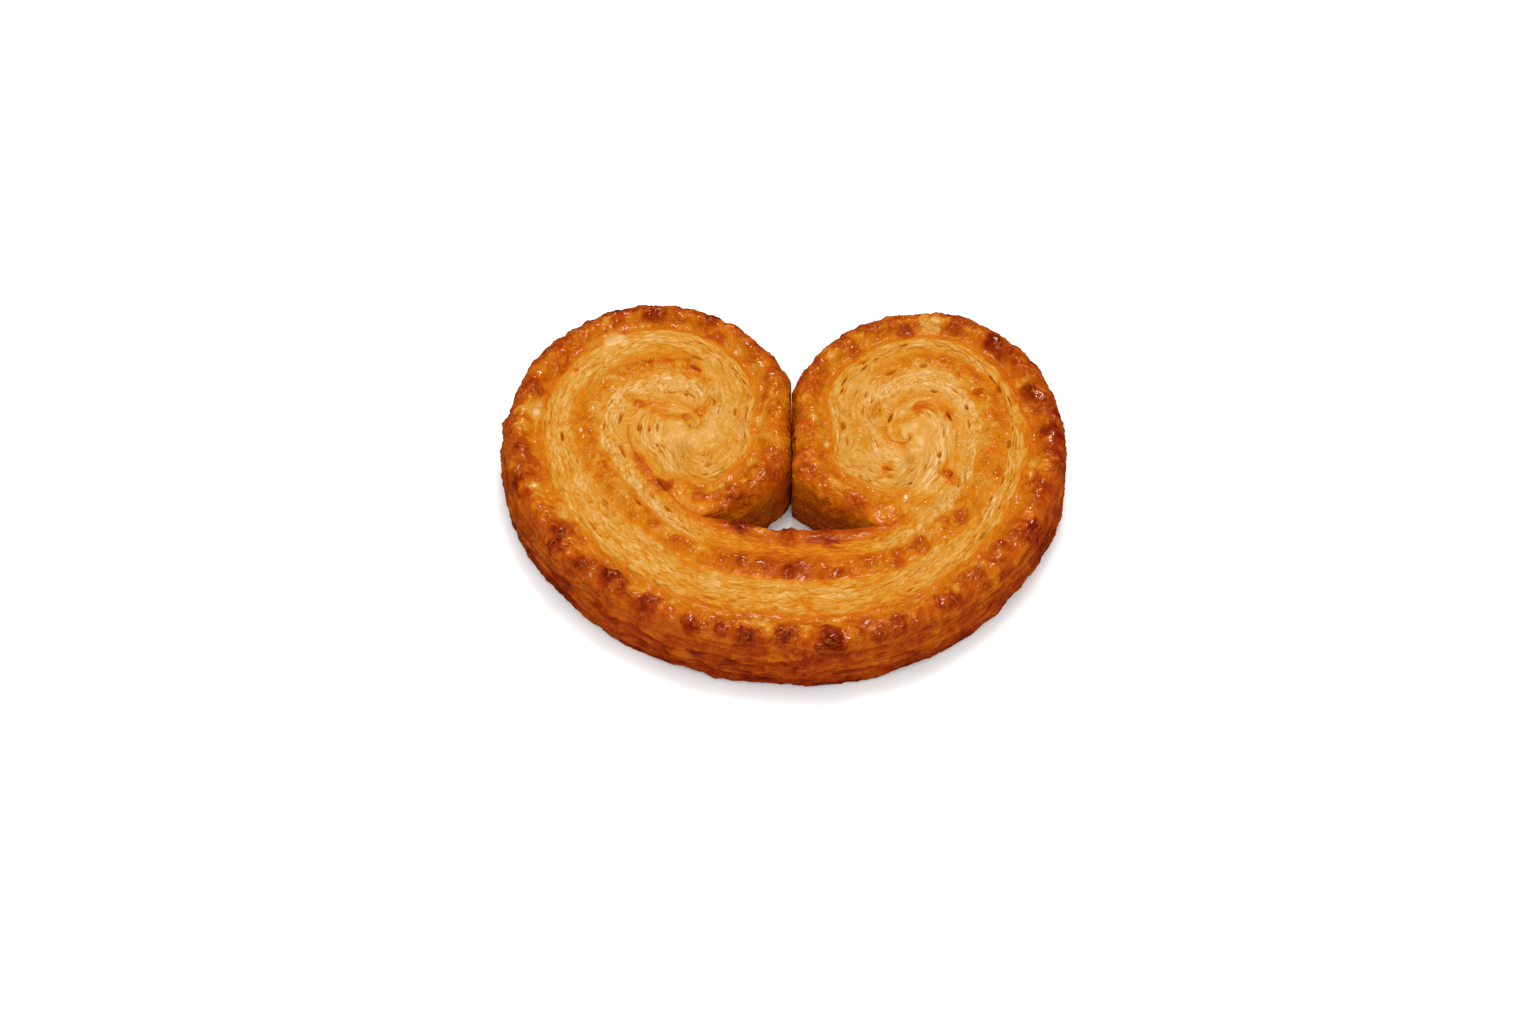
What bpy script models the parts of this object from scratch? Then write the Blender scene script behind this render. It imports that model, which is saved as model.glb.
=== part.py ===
"""A palmier: a heart-shaped biscuit of puff pastry, rolled from both sides to the middle.

The sheet of dough runs from the eye of the left coil, round the left lobe, along the broad
front and round the right lobe to the eye of the right coil. The lobes are pressed together
at the back, and where they turn in again they leave a small hole behind the front band.
The piece lies flat on its underside, with the front towards -Y and the lobes towards +Y.
"""
import bpy
import bmesh
import numpy as np
from mathutils.geometry import delaunay_2d_cdt

MM = 0.001  # one millimetre in metres; every size below is in millimetres

# Heights above the surface that the pastry lies on.
RIM_HEIGHT = 12.2
DOUGH_HEIGHT = 11.1
GROOVE_HEIGHT = 10.5
VEIN_HEIGHT = 11.7
CREASE_HEIGHT = 8.6
SHOULDER_DROP = 0.9  # how much lower than the rim the shoulders beside the crease are
INNER_CREST_DROP = 0.3  # how much lower than the rim the crest beside the hole is
GROOVE_FILLING = 0.4  # how much the groove rises inside the coil
VEIN_SIDE_DROP = 0.3  # how much lower than the dough the vein's outward side is
FACE_DROP = 0.5  # how much lower than the dough the line between two turns is

# Widths across the rolled sheet, measured from the outer face of the crust.
CREST_INSET = 3.4
GROOVE_INSET = 5.9
DOUGH_INSET = 7.6
SEAM_SHOULDER = 1.6
VEIN_HALF_WIDTH = 2.2
INNER_CREST_INSET = 2.2
INNER_CRUST_FADE = 25.0  # degrees over which the crust sinks into the coil past the joint
FIRST_LAYER = 0.12  # share of the sheet's thickness that the crust keeps inside the coil
THINNEST = 0.1  # the least thickness that insets are measured against

# The edge's rounded profile from the top inward edge to the underside: inset and height.
EDGE_PROFILE = (
    (1.9, 11.9),
    (0.9, 10.6),
    (0.2, 8.4),
    (0.0, 5.6),
    (0.0, 2.6),
    (0.4, 0.7),
    (1.4, 0.0),
)
# A cusp is a corner of the edge, where two faces meet. The edge's profile is pinched there.
CUSP_TOP = 8.6  # between the lobes
JOINT_TOP = 10.5  # where a lobe's face meets the front band
CUSP_BOTTOM = 1.6
CUSP_REACH = 4.0  # how far from a cusp the edge regains its full rounding

SEAM_X = 0.5  # the lobes meet on this line

# Angles, in degrees turned from the front, where a coil's face changes.
FULL_TURN = 360
SEAM_START = 270  # here the outer face reaches the seam
SEAM_END = 280  # here it leaves the seam towards the hole
INNER_CREST_ENDS = (-10, 15)  # past the inner turn's joint, where the crest beside the hole ends
EYE_GAP = 1.0  # how far short of the table's last angle the sheet stops

# Each coil: where its eye lies, the radius of its outer face by the angle turned from the
# front, the far edge of the front band beside the hole, and how deep the sugar vein lies in
# the sheet. At the joint angle the lobe's face meets the front band and winds inward.
LEFT_COIL = {
    "side": -1,
    "eye": (-16.8, 5.7),
    "joint": 353,
    "face": (
        (-30.5, 54.1),
        (-18.9, 50.5),
        (0, 44.6),
        (22, 38.9),
        (45, 34.8),
        (67, 32.9),
        (90, 31.9),
        (112, 31.7),
        (135, 31.4),
        (157, 30.5),
        (180, 28.1),
        (202, 24.6),
        (225, 21.7),
        (248, 19.6),
        (270, 18.0),
        (292, 18.3),
        (317, 19.4),
        (335, 20.0),
        (353, 20.0),
        (377, 14.6),
        (394, 12.0),
        (414, 11.1),
        (444, 10.5),
        (475, 9.3),
        (502, 6.4),
        (540, 3.8),
        (600, 2.2),
        (660, 1.2),
        (720, 0.0),
    ),
    "hole_edge": ((324, 28.0), (332.5, 24.9), (341, 22.1), (353, 20.0)),
    "vein": ((-19, 0.66), (10, 0.70), (55, 0.71), (90, 0.67), (180, 0.60), (270, 0.68), (330, 0.62)),
}
RIGHT_COIL = {
    "side": 1,
    "eye": (20.5, 3.0),
    "joint": 342,
    "face": (
        (-35.0, 52.8),
        (-23.8, 49.5),
        (0, 41.0),
        (22, 34.1),
        (45, 29.5),
        (67, 27.3),
        (90, 26.9),
        (112, 27.3),
        (135, 29.1),
        (157, 30.3),
        (180, 29.7),
        (202, 27.4),
        (225, 24.8),
        (248, 22.3),
        (270, 20.6),
        (294, 21.0),
        (320, 20.0),
        (333, 19.9),
        (342, 20.3),
        (365, 15.0),
        (394, 11.4),
        (435, 8.0),
        (480, 8.8),
        (519, 9.8),
        (560, 7.0),
        (600, 4.6),
        (650, 3.0),
        (690, 1.4),
        (720, 0.0),
    ),
    "hole_edge": ((314, 28.6), (324, 24.8), (333, 22.3), (342, 20.3)),
    "vein": ((-24, 0.66), (10, 0.70), (55, 0.71), (90, 0.67), (180, 0.60), (270, 0.68), (330, 0.62)),
}

# How finely the solid is divided, and how uneven the baked crust is.
SECTIONS = 600
ROW_SPACING = 1.7
EDGE_SPACING = 1.9
UNDERSIDE_SPACING = 7.0
CLOSEST_POINTS = 1.15
EDGE_ROUGHNESS = 0.3
CREST_ROUGHNESS = 0.5
BLISTERING = (-0.8, 1.3)  # how far crests are torn down and puffed up, times their roughness
RANDOM_SEED = 11
DISTANCE_TOLERANCE = 1e-6  # points closer than this count as one

CRUST_COLOUR = (0.50, 0.20, 0.045, 1.0)
CRUST_ROUGHNESS = 0.42


def smooth_curve(angle, table):
    """A smooth curve through a table's (angle, value) pairs, read at the angles given."""
    knots = np.array(table, dtype=float)
    slopes = np.gradient(knots[:, 1], knots[:, 0])
    angle = np.clip(angle, knots[0, 0], knots[-1, 0])
    i = np.clip(np.searchsorted(knots[:, 0], angle, side="right") - 1, 0, len(knots) - 2)
    span = knots[i + 1, 0] - knots[i, 0]
    t = (angle - knots[i, 0]) / span
    start = (1 + 2 * t) * (1 - t) ** 2 * knots[i, 1] + t * (1 - t) ** 2 * span * slopes[i]
    end = t * t * (3 - 2 * t) * knots[i + 1, 1] - t * t * (1 - t) * span * slopes[i + 1]
    return start + end


def smooth_step(value, low, high):
    """0 below low, 1 above high, and an even rise between them."""
    t = np.clip((value - low) / (high - low), 0.0, 1.0)
    return t * t * (3 - 2 * t)


def from_eye(coil, angle, radius):
    """Plan points at an angle turned from the front and a radius round the coil's eye."""
    turned = np.radians(angle)
    x = coil["eye"][0] + coil["side"] * np.sin(turned) * radius
    y = coil["eye"][1] - np.cos(turned) * radius
    return np.stack([x, y], axis=1)


def outer_face(coil, angle):
    """The sheet's outer face, pressed flat where the two lobes meet."""
    points = from_eye(coil, angle, smooth_curve(angle, coil["face"]))
    side = coil["side"]
    points[:, 0] = side * np.maximum(side * points[:, 0], side * SEAM_X)
    return points


def front_angle(coil):
    """The angle at which the coil's outer face reaches the middle of the front."""
    return coil["face"][1][0]


def inner_face(coil, angle):
    """The sheet's inner face: the hole's edge in front, then the next turn's outer face."""
    joint = coil["joint"] - FULL_TURN
    hole = coil["hole_edge"]
    fan = (hole[0][0] - coil["joint"]) / (front_angle(coil) - joint)
    turned = np.where(angle < joint, joint + (angle - joint) * fan, angle) + FULL_TURN
    edge = from_eye(coil, turned, smooth_curve(turned, hole))
    wound = from_eye(coil, turned, smooth_curve(turned, coil["face"]))
    return np.where((angle < joint)[:, None], edge, wound)


def row_lines(coil):
    """Lines along the top of the sheet, each with its heights and its on-the-seam flags."""
    angle = np.linspace(front_angle(coil), coil["face"][-1][0] - EYE_GAP, SECTIONS)
    outer = outer_face(coil, angle)
    inner = inner_face(coil, angle)
    thickness = np.linalg.norm(inner - outer, axis=1)
    wound = smooth_step(angle, coil["joint"], coil["joint"] + INNER_CRUST_FADE)
    vein = thickness * smooth_curve(angle, coil["vein"])

    def blend(outside, share):
        return outside * (1 - wound) + share * thickness * wound

    past_hole = angle - (coil["joint"] - FULL_TURN)
    beside_hole = 1 - smooth_step(past_hole, *INNER_CREST_ENDS)
    inner_height = DOUGH_HEIGHT + (RIM_HEIGHT - INNER_CREST_DROP - DOUGH_HEIGHT) * beside_hole
    stations = (
        (blend(CREST_INSET, FIRST_LAYER), RIM_HEIGHT - (RIM_HEIGHT - DOUGH_HEIGHT) * wound),
        (blend(GROOVE_INSET, 2 * FIRST_LAYER), GROOVE_HEIGHT + GROOVE_FILLING * wound),
        (blend(DOUGH_INSET, 3 * FIRST_LAYER), np.full(SECTIONS, DOUGH_HEIGHT)),
        (vein - VEIN_HALF_WIDTH * (1 - wound), np.full(SECTIONS, DOUGH_HEIGHT - VEIN_SIDE_DROP)),
        (vein, np.full(SECTIONS, VEIN_HEIGHT)),
        (vein + VEIN_HALF_WIDTH * (1 - wound), np.full(SECTIONS, DOUGH_HEIGHT)),
        (thickness - INNER_CREST_INSET * (1 - wound), inner_height),
    )
    lines = []
    for inset, height in stations:
        share = np.clip(inset / np.maximum(thickness, THINNEST), 0.0, 1.0)[:, None]
        lines.append(np.column_stack([outer * (1 - share) + inner * share, height]))
    coiled = angle > coil["joint"] + INNER_CRUST_FADE
    face_line = np.column_stack([outer, np.full(SECTIONS, DOUGH_HEIGHT - FACE_DROP)])
    lines.append(face_line[coiled])
    return lines


def seam_lines(ends):
    """The crease between the lobes and the two shoulders beside it."""
    back, front = ends
    y = np.arange(front + EDGE_SPACING, back, EDGE_SPACING)
    crease = np.column_stack([np.full(len(y), SEAM_X), y, np.full(len(y), CREASE_HEIGHT)])
    lines = [crease]
    for side in (-1, 1):
        shoulder = crease + (side * SEAM_SHOULDER, 0.0, RIM_HEIGHT - SHOULDER_DROP - CREASE_HEIGHT)
        lines.append(shoulder)
    return lines


def evenly(line, spacing, closed=False):
    """Points along a line, a given distance apart. A closed line keeps its last point out."""
    length = np.concatenate([[0], np.cumsum(np.linalg.norm(np.diff(line[:, :2], axis=0), axis=1))])
    count = max(int(round(length[-1] / spacing)), 2)
    at = np.linspace(0, length[-1], count + 1)
    if closed:
        at = at[:-1]
    return np.column_stack([np.interp(at, length, line[:, k]) for k in range(line.shape[1])])


def free_face(coil, start, end):
    """A stretch of the outer face between two angles, without what is pressed on the seam."""
    angle = np.linspace(start, end, SECTIONS)
    points = from_eye(coil, angle, smooth_curve(angle, coil["face"]))
    return points[coil["side"] * (points[:, 0] - SEAM_X) > 0]


def outline():
    """The heart's outer edge, from the middle of the front round by the left lobe, and its cusp."""
    left = free_face(LEFT_COIL, front_angle(LEFT_COIL), SEAM_START)
    right = free_face(RIGHT_COIL, front_angle(RIGHT_COIL), SEAM_START)
    notch = np.array([[SEAM_X, 0.5 * (left[-1, 1] + right[-1, 1]), CUSP_TOP]])
    return np.vstack([left, notch[:, :2], right[::-1]]), notch


def hole_outline():
    """The hole's edge: the front band, and the lobes' faces up to where they meet, and its cusps."""
    sides = []
    joints = []
    for coil in (LEFT_COIL, RIGHT_COIL):
        hole = coil["hole_edge"]
        turned = np.linspace(hole[0][0], hole[-1][0], SECTIONS)
        band = from_eye(coil, turned, smooth_curve(turned, hole))
        lobe = free_face(coil, coil["joint"], SEAM_END)
        sides.append(np.vstack([band, lobe[1:]]))
        joints.append((*band[-1], JOINT_TOP))
    left, right = sides
    apex = np.array([[SEAM_X, 0.5 * (left[-1, 1] + right[-1, 1]), CUSP_TOP]])
    return np.vstack([left, apex[:, :2], right[::-1]]), np.vstack([apex, joints])


def outward_normals(loop):
    """Unit normals in plan of a loop that runs clockwise, pointing away from its left side."""
    along = np.roll(loop, -1, axis=0) - np.roll(loop, 1, axis=0)
    normal = np.column_stack([-along[:, 1], along[:, 0]])
    return normal / np.linalg.norm(normal, axis=1)[:, None]


def rounded_edge(loop, cusps, outward, random):
    """The edge's rings from top to underside, rounded everywhere but at the cusps."""
    normal = outward_normals(loop) * outward
    gaps = np.linalg.norm(loop[:, None] - cusps[None, :, :2], axis=2)
    cusp_top = cusps[np.argmin(gaps, axis=1), 2]
    fullness = smooth_step(np.min(gaps, axis=1), 0.0, CUSP_REACH)
    bumps = EDGE_ROUGHNESS * random.uniform(-1.0, 1.0, len(loop)) * fullness
    low, high = EDGE_PROFILE[-1][1], EDGE_PROFILE[0][1]
    rings = []
    for inset, height in EDGE_PROFILE:
        rise = (height - low) / (high - low)
        pinched = CUSP_BOTTOM + (cusp_top - CUSP_BOTTOM) * rise
        bulge = bumps * np.sin(np.pi * rise)
        plan = loop + normal * (bulge - inset * fullness)[:, None]
        rings.append(np.column_stack([plan, height * fullness + pinched * (1 - fullness)]))
    return rings


def inside(points, loop):
    """Which plan points lie inside a closed loop."""
    x, y = points[:, 0, None], points[:, 1, None]
    x0, y0 = loop[:, 0], loop[:, 1]
    x1, y1 = np.roll(x0, -1), np.roll(y0, -1)
    crosses = (y0 > y) != (y1 > y)
    rise = np.where(y1 == y0, 1.0, y1 - y0)
    return np.sum(crosses & (x < (x1 - x0) * (y - y0) / rise + x0), axis=1) % 2 == 1


def spread_out(points, kept, closest):
    """Adds points to the kept ones, leaving out any that would crowd them."""
    kept = list(kept)
    for point in points:
        gaps = np.hypot(*(np.array(kept)[:, :2] - point[:2]).T)
        if gaps.min() > closest:
            kept.append(point)
    return np.array(kept)


def surface(rings, extra, closest):
    """Triangles over the ground between the outer ring and the hole's ring."""
    outer, hole = rings
    plan = np.vstack([outer, hole])
    near = inside(extra[:, :2], outer[:, :2]) & ~inside(extra[:, :2], hole[:, :2])
    points = spread_out(extra[near], plan, closest)
    edges = []
    start = 0
    for ring in rings:
        count = len(ring)
        edges += [(start + i, start + (i + 1) % count) for i in range(count)]
        start += count
    result = delaunay_2d_cdt([tuple(p) for p in points[:, :2]], edges, [], 0, DISTANCE_TOLERANCE)
    faces = np.array(result[2])
    middles = points[faces, :2].mean(axis=1)
    solid = inside(middles, outer[:, :2]) & ~inside(middles, hole[:, :2])
    return points, faces[solid]


def top_points(ends, random):
    """Points on the crests, grooves and veins of both coils and along the crease."""
    lines = seam_lines(ends) + row_lines(LEFT_COIL) + row_lines(RIGHT_COIL)
    points = np.vstack([evenly(line, ROW_SPACING) for line in lines])
    raised = np.clip((points[:, 2] - DOUGH_HEIGHT) / (RIM_HEIGHT - DOUGH_HEIGHT), 0.0, 1.0)
    points[:, 2] += CREST_ROUGHNESS * raised * random.uniform(*BLISTERING, len(points))
    return points


def underside_points(outer_ring):
    """A loose grid of points on the flat underside."""
    low = outer_ring[:, :2].min(axis=0)
    high = outer_ring[:, :2].max(axis=0)
    x = np.arange(low[0], high[0], UNDERSIDE_SPACING)
    y = np.arange(low[1], high[1], UNDERSIDE_SPACING)
    grid = np.stack(np.meshgrid(x, y), axis=-1).reshape(-1, 2)
    return np.column_stack([grid, np.zeros(len(grid))])


def wall_faces(first, second, count):
    """Quads between two rings of the same count, given each ring's first vertex number."""
    faces = []
    for i in range(count):
        j = (i + 1) % count
        faces.append((first + i, first + j, second + j, second + i))
    return faces


def pastry_shell():
    """Vertices and faces of the whole pastry, as one closed body with one hole through it."""
    random = np.random.default_rng(RANDOM_SEED)
    heart, notch = outline()
    hole, hole_cusps = hole_outline()
    loops = (evenly(heart, EDGE_SPACING, closed=True), evenly(hole, EDGE_SPACING, closed=True))
    rings = (
        rounded_edge(loops[0], notch, 1.0, random),
        rounded_edge(loops[1], hole_cusps, -1.0, random),
    )
    ends = (notch[0, 1], hole_cusps[0, 1])
    top, top_faces = surface([r[0] for r in rings], top_points(ends, random), CLOSEST_POINTS)
    floor = underside_points(rings[0][-1])
    bottom, bottom_faces = surface([r[-1] for r in rings], floor, 0.5 * UNDERSIDE_SPACING)

    vertices = list(top)
    faces = [tuple(f) for f in top_faces]
    ring_starts = [0, len(loops[0])]
    for level in range(1, len(EDGE_PROFILE) - 1):
        for k, ring in enumerate(rings):
            start = len(vertices)
            vertices.extend(ring[level])
            faces += wall_faces(ring_starts[k], start, len(loops[k]))
            ring_starts[k] = start
    start = len(vertices)
    vertices.extend(bottom)
    faces += [tuple(start + np.array(f)) for f in bottom_faces]
    faces += wall_faces(ring_starts[0], start, len(loops[0]))
    faces += wall_faces(ring_starts[1], start + len(loops[0]), len(loops[1]))
    return np.array(vertices), faces


def centred(vertices):
    """Moves the body so that the middle of its underside is the origin, in metres."""
    low, high = vertices.min(axis=0), vertices.max(axis=0)
    middle = np.array([0.5 * (low[0] + high[0]), 0.5 * (low[1] + high[1]), low[2]])
    return (vertices - middle) * MM


def baked_crust():
    """Glossy browned puff pastry."""
    material = bpy.data.materials.new("baked_pastry")
    material.use_nodes = True
    shader = material.node_tree.nodes["Principled BSDF"]
    shader.inputs["Base Color"].default_value = CRUST_COLOUR
    shader.inputs["Roughness"].default_value = CRUST_ROUGHNESS
    shader.inputs["Metallic"].default_value = 0.0
    return material


def build_pastry():
    """The pastry as one object."""
    vertices, faces = pastry_shell()
    shell = bmesh.new()
    corners = [shell.verts.new(v) for v in centred(vertices)]
    for face in faces:
        shell.faces.new([corners[i] for i in face])
    bmesh.ops.triangulate(shell, faces=shell.faces)
    bmesh.ops.recalc_face_normals(shell, faces=shell.faces)
    mesh = bpy.data.meshes.new("palmier")
    shell.to_mesh(mesh)
    shell.free()
    mesh.materials.append(baked_crust())
    mesh.shade_smooth()
    pastry = bpy.data.objects.new("palmier", mesh)
    bpy.context.scene.collection.objects.link(pastry)
    return pastry


def main():
    for old in list(bpy.data.objects):
        bpy.data.objects.remove(old)
    pastry = build_pastry()
    size = [round(side / MM, 1) for side in pastry.dimensions]
    print("palmier", size, "mm,", len(pastry.data.polygons), "triangles")


main()
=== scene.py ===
# %% [markdown]
# # A palmier
# A palmier is one long sheet of buttered, sugared puff pastry, rolled from both ends to the
# middle and cut into slices. The slice lies on its side in the oven, so what faces up is the
# cut edge of the roll. The sheet's outer skin browns into a blistered, glossy crust. The
# layers of dough between stay pale, and sugar that melted between the turns sets as amber.
#
# The lesson follows the sheet. First comes the line it takes in plan, then the height of its
# cut edge, then the relief of crust and dough, and last the colours and the light.

import bpy
import numpy as np
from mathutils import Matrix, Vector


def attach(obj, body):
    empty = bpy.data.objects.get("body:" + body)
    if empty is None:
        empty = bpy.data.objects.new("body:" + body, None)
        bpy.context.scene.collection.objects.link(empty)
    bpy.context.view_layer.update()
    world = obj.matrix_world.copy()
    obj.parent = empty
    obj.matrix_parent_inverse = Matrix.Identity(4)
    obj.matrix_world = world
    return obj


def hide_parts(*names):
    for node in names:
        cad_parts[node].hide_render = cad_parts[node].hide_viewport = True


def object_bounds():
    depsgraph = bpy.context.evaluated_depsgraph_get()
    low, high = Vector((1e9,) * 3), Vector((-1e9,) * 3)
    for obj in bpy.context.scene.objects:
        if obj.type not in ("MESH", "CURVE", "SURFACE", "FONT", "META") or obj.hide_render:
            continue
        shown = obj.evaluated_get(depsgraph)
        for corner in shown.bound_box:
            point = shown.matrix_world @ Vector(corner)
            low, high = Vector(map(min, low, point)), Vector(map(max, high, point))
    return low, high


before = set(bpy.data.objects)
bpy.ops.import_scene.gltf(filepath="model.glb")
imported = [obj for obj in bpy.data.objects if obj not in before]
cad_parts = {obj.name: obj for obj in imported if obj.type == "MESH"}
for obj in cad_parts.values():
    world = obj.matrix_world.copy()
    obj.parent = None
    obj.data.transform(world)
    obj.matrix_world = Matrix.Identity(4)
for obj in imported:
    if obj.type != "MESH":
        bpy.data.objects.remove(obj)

MM = 0.001  # one millimetre in metres; the shape is worked out in millimetres
cad_low, cad_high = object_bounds()
random = np.random.default_rng(23)
print("the packed palmier measures", [round(side / MM, 1) for side in cad_high - cad_low], "mm")

# %% [markdown]
# ## The line of the rolled sheet
# Each lobe is a coil. A coil could be a formula such as an Archimedean spiral, but dough is
# rolled by hand and swells in the oven, so its radius grows unevenly. The tables give the
# radius of the sheet's outer face at a few angles turned from the front, and a smooth curve
# runs through them. The sheet's inner face needs no table of its own: beside the hole it is
# the far edge of the front band, and further round it is the outer face one turn later.

# %% Tables of the two coils
SEAM_X = 0.5  # the lobes are pressed together on this line

# pairs of an angle in degrees and a radius in millimetres or, for the vein, a share of thickness
LEFT_COIL = {
    "side": -1,
    "eye": (-16.8, 5.7),
    "joint": 353,
    "face": (
        (-30.5, 54.1), (-18.9, 50.5), (0, 44.6), (22, 38.9), (45, 34.8), (67, 32.9),
        (90, 31.9), (112, 31.7), (135, 31.4), (157, 30.5), (180, 28.1), (202, 24.6),
        (225, 21.7), (248, 19.6), (270, 18.0), (292, 18.3), (317, 19.4), (335, 20.0),
        (353, 20.0), (377, 14.6), (394, 12.0), (414, 11.1), (444, 10.5), (475, 9.3),
        (502, 6.4), (540, 3.8), (600, 2.2), (660, 1.2), (720, 0.0),
    ),
    "hole_edge": ((324, 28.0), (332.5, 24.9), (341, 22.1), (353, 20.0)),
    "vein": ((-19, 0.66), (10, 0.70), (55, 0.71), (90, 0.67), (180, 0.60), (270, 0.68), (330, 0.62)),
}
RIGHT_COIL = {
    "side": 1,
    "eye": (20.5, 3.0),
    "joint": 342,
    "face": (
        (-35.0, 52.8), (-23.8, 49.5), (0, 41.0), (22, 34.1), (45, 29.5), (67, 27.3),
        (90, 26.9), (112, 27.3), (135, 29.1), (157, 30.3), (180, 29.7), (202, 27.4),
        (225, 24.8), (248, 22.3), (270, 20.6), (294, 21.0), (320, 20.0), (333, 19.9),
        (342, 20.3), (365, 15.0), (394, 11.4), (435, 8.0), (480, 8.8), (519, 9.8),
        (560, 7.0), (600, 4.6), (650, 3.0), (690, 1.4), (720, 0.0),
    ),
    "hole_edge": ((314, 28.6), (324, 24.8), (333, 22.3), (342, 20.3)),
    "vein": ((-24, 0.66), (10, 0.70), (55, 0.71), (90, 0.67), (180, 0.60), (270, 0.68), (330, 0.62)),
}
for coil in (LEFT_COIL, RIGHT_COIL):
    print(len(coil["face"]), "radii from", coil["face"][0][0], "to", coil["face"][-1][0], "degrees")


# %% Smooth curves
def cubic(t, span, first, last, first_slope, last_slope):
    """A cubic over one span: both ends' values and slopes, each times its weight in t."""
    start = (1 + 2 * t) * (1 - t) ** 2 * first + t * (1 - t) ** 2 * span * first_slope
    end = t * t * (3 - 2 * t) * last - t * t * (1 - t) * span * last_slope
    return start + end


def smooth_curve(at, table):
    """A smooth curve through a table's pairs: a cubic from each pair to the next."""
    knots = np.array(table, dtype=float)
    slopes = np.gradient(knots[:, 1], knots[:, 0])
    at = np.clip(at, knots[0, 0], knots[-1, 0])
    i = np.clip(np.searchsorted(knots[:, 0], at, side="right") - 1, 0, len(knots) - 2)
    span = knots[i + 1, 0] - knots[i, 0]
    t = (at - knots[i, 0]) / span
    return cubic(t, span, knots[i, 1], knots[i + 1, 1], slopes[i], slopes[i + 1])


def smooth_step(value, low, high):
    """0 below low, 1 above high, and 3t^2 - 2t^3 between them."""
    t = np.clip((value - low) / (high - low), 0.0, 1.0)
    return t * t * (3 - 2 * t)


def from_eye(coil, angle, radius):
    """Plan points: the eye plus the radius turned by the angle from the front."""
    turned = np.radians(angle)
    x = coil["eye"][0] + coil["side"] * np.sin(turned) * radius
    y = coil["eye"][1] - np.cos(turned) * radius
    return np.stack([x, y], axis=1)


print("half of a smooth step is", smooth_step(0.5, 0.0, 1.0))

# %% [markdown]
# ## The sheet's two faces
# The outer face is read from the table and pressed flat where it meets the other lobe. Near
# the eye both faces keep a smallest radius, so that the last turn closes round a pin-prick
# and no triangle shrinks to nothing.

# %% Outer and inner face
LAST_TURN = 0.6  # smallest radius of the outer face
EYE_RADIUS = 0.12  # smallest radius of the inner face
EYE_CLOSES = (720, 760)  # degrees over which the inner face closes on the eye


def outer_face(coil, angle):
    """Plan points of the outer face: the table's radius, kept on its own side of the seam."""
    points = from_eye(coil, angle, np.maximum(smooth_curve(angle, coil["face"]), LAST_TURN))
    side = coil["side"]
    points[:, 0] = side * np.maximum(side * points[:, 0], side * SEAM_X)
    return points


def inner_face(coil, angle):
    """Plan points of the inner face: the hole's edge in front, then the next turn's outer face."""
    joint = coil["joint"] - 360
    hole = coil["hole_edge"]
    fan = (hole[0][0] - coil["joint"]) / (coil["face"][1][0] - joint)
    turned = np.where(angle < joint, joint + (angle - joint) * fan, angle) + 360
    turned = np.maximum(turned, hole[0][0])
    edge = smooth_curve(turned, hole)
    least = LAST_TURN + (EYE_RADIUS - LAST_TURN) * smooth_step(turned, *EYE_CLOSES)
    wound = np.maximum(smooth_curve(turned, coil["face"]), least)
    return from_eye(coil, turned, np.where(angle < joint, edge, wound))


front_of_left = np.zeros(1)
front_band = inner_face(LEFT_COIL, front_of_left) - outer_face(LEFT_COIL, front_of_left)
print("the front band is", round(float(np.linalg.norm(front_band)), 1), "mm across")

# %% [markdown]
# ## Cross-sections along the sheet
# The sheet is cut into about 1900 cross-sections, evenly spaced along its outer face so that
# the relief is equally fine everywhere. Towards the eye the face gets short while the angle
# still turns a lot, so a little length is added for each degree there.

# %% Sections from one eye to the other
SECTION_SPACING = 0.27  # millimetres
FINE_STEPS = 6000  # steps of angle from which the even ones are picked
EYE_LENGTH = 3.0  # added length for each radian turned past the joint
FRONT_REACH = 0.7  # degrees that each coil runs on so that both meet in the middle of the front
LAST_ANGLE = 719.0
FACE_CLOSES = (-12.0, 3.0)  # degrees past the joint over which two faces close on each other
CREST_LEVELS = (-16.0, 14.0)  # degrees past the joint over which the crest comes down
CRUST_FADES = (3.0, 34.0)  # degrees past the joint over which the crust narrows and turns pale
DIP_SPREAD = 12.0  # degrees each way over which the closed faces lie lower


def coil_sections(coil):
    """Everything that changes along one coil, at even steps of its outer face."""
    first = coil["face"][1][0] - FRONT_REACH
    dense = np.linspace(first, LAST_ANGLE, FINE_STEPS)
    step = np.linalg.norm(np.diff(outer_face(coil, dense), axis=0), axis=1)
    step += EYE_LENGTH * np.radians(np.diff(dense)) * (dense[1:] > coil["joint"])
    length = np.concatenate([[0.0], np.cumsum(step)])
    angle = np.interp(np.arange(0.0, length[-1], SECTION_SPACING), length, dense)
    outer, inner = outer_face(coil, angle), inner_face(coil, angle)
    past = angle - coil["joint"]
    return {
        "angle": angle,
        "outer": outer,
        "inner": inner,
        "thickness": np.linalg.norm(inner - outer, axis=1),
        "vein": smooth_curve(angle, coil["vein"]),
        "closed": smooth_step(past, *FACE_CLOSES),
        "level": smooth_step(past, *CREST_LEVELS),
        "wound": smooth_step(past, *CRUST_FADES),
        "tucked": smooth_step(past + 360, *FACE_CLOSES),
        "outer_dip": np.exp(-((past / DIP_SPREAD) ** 2)),
        "inner_dip": np.exp(-(((past + 360) / DIP_SPREAD) ** 2)),
        "side": np.full(len(angle), coil["side"]),
        "eye": np.tile(coil["eye"], (len(angle), 1)),
    }


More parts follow.
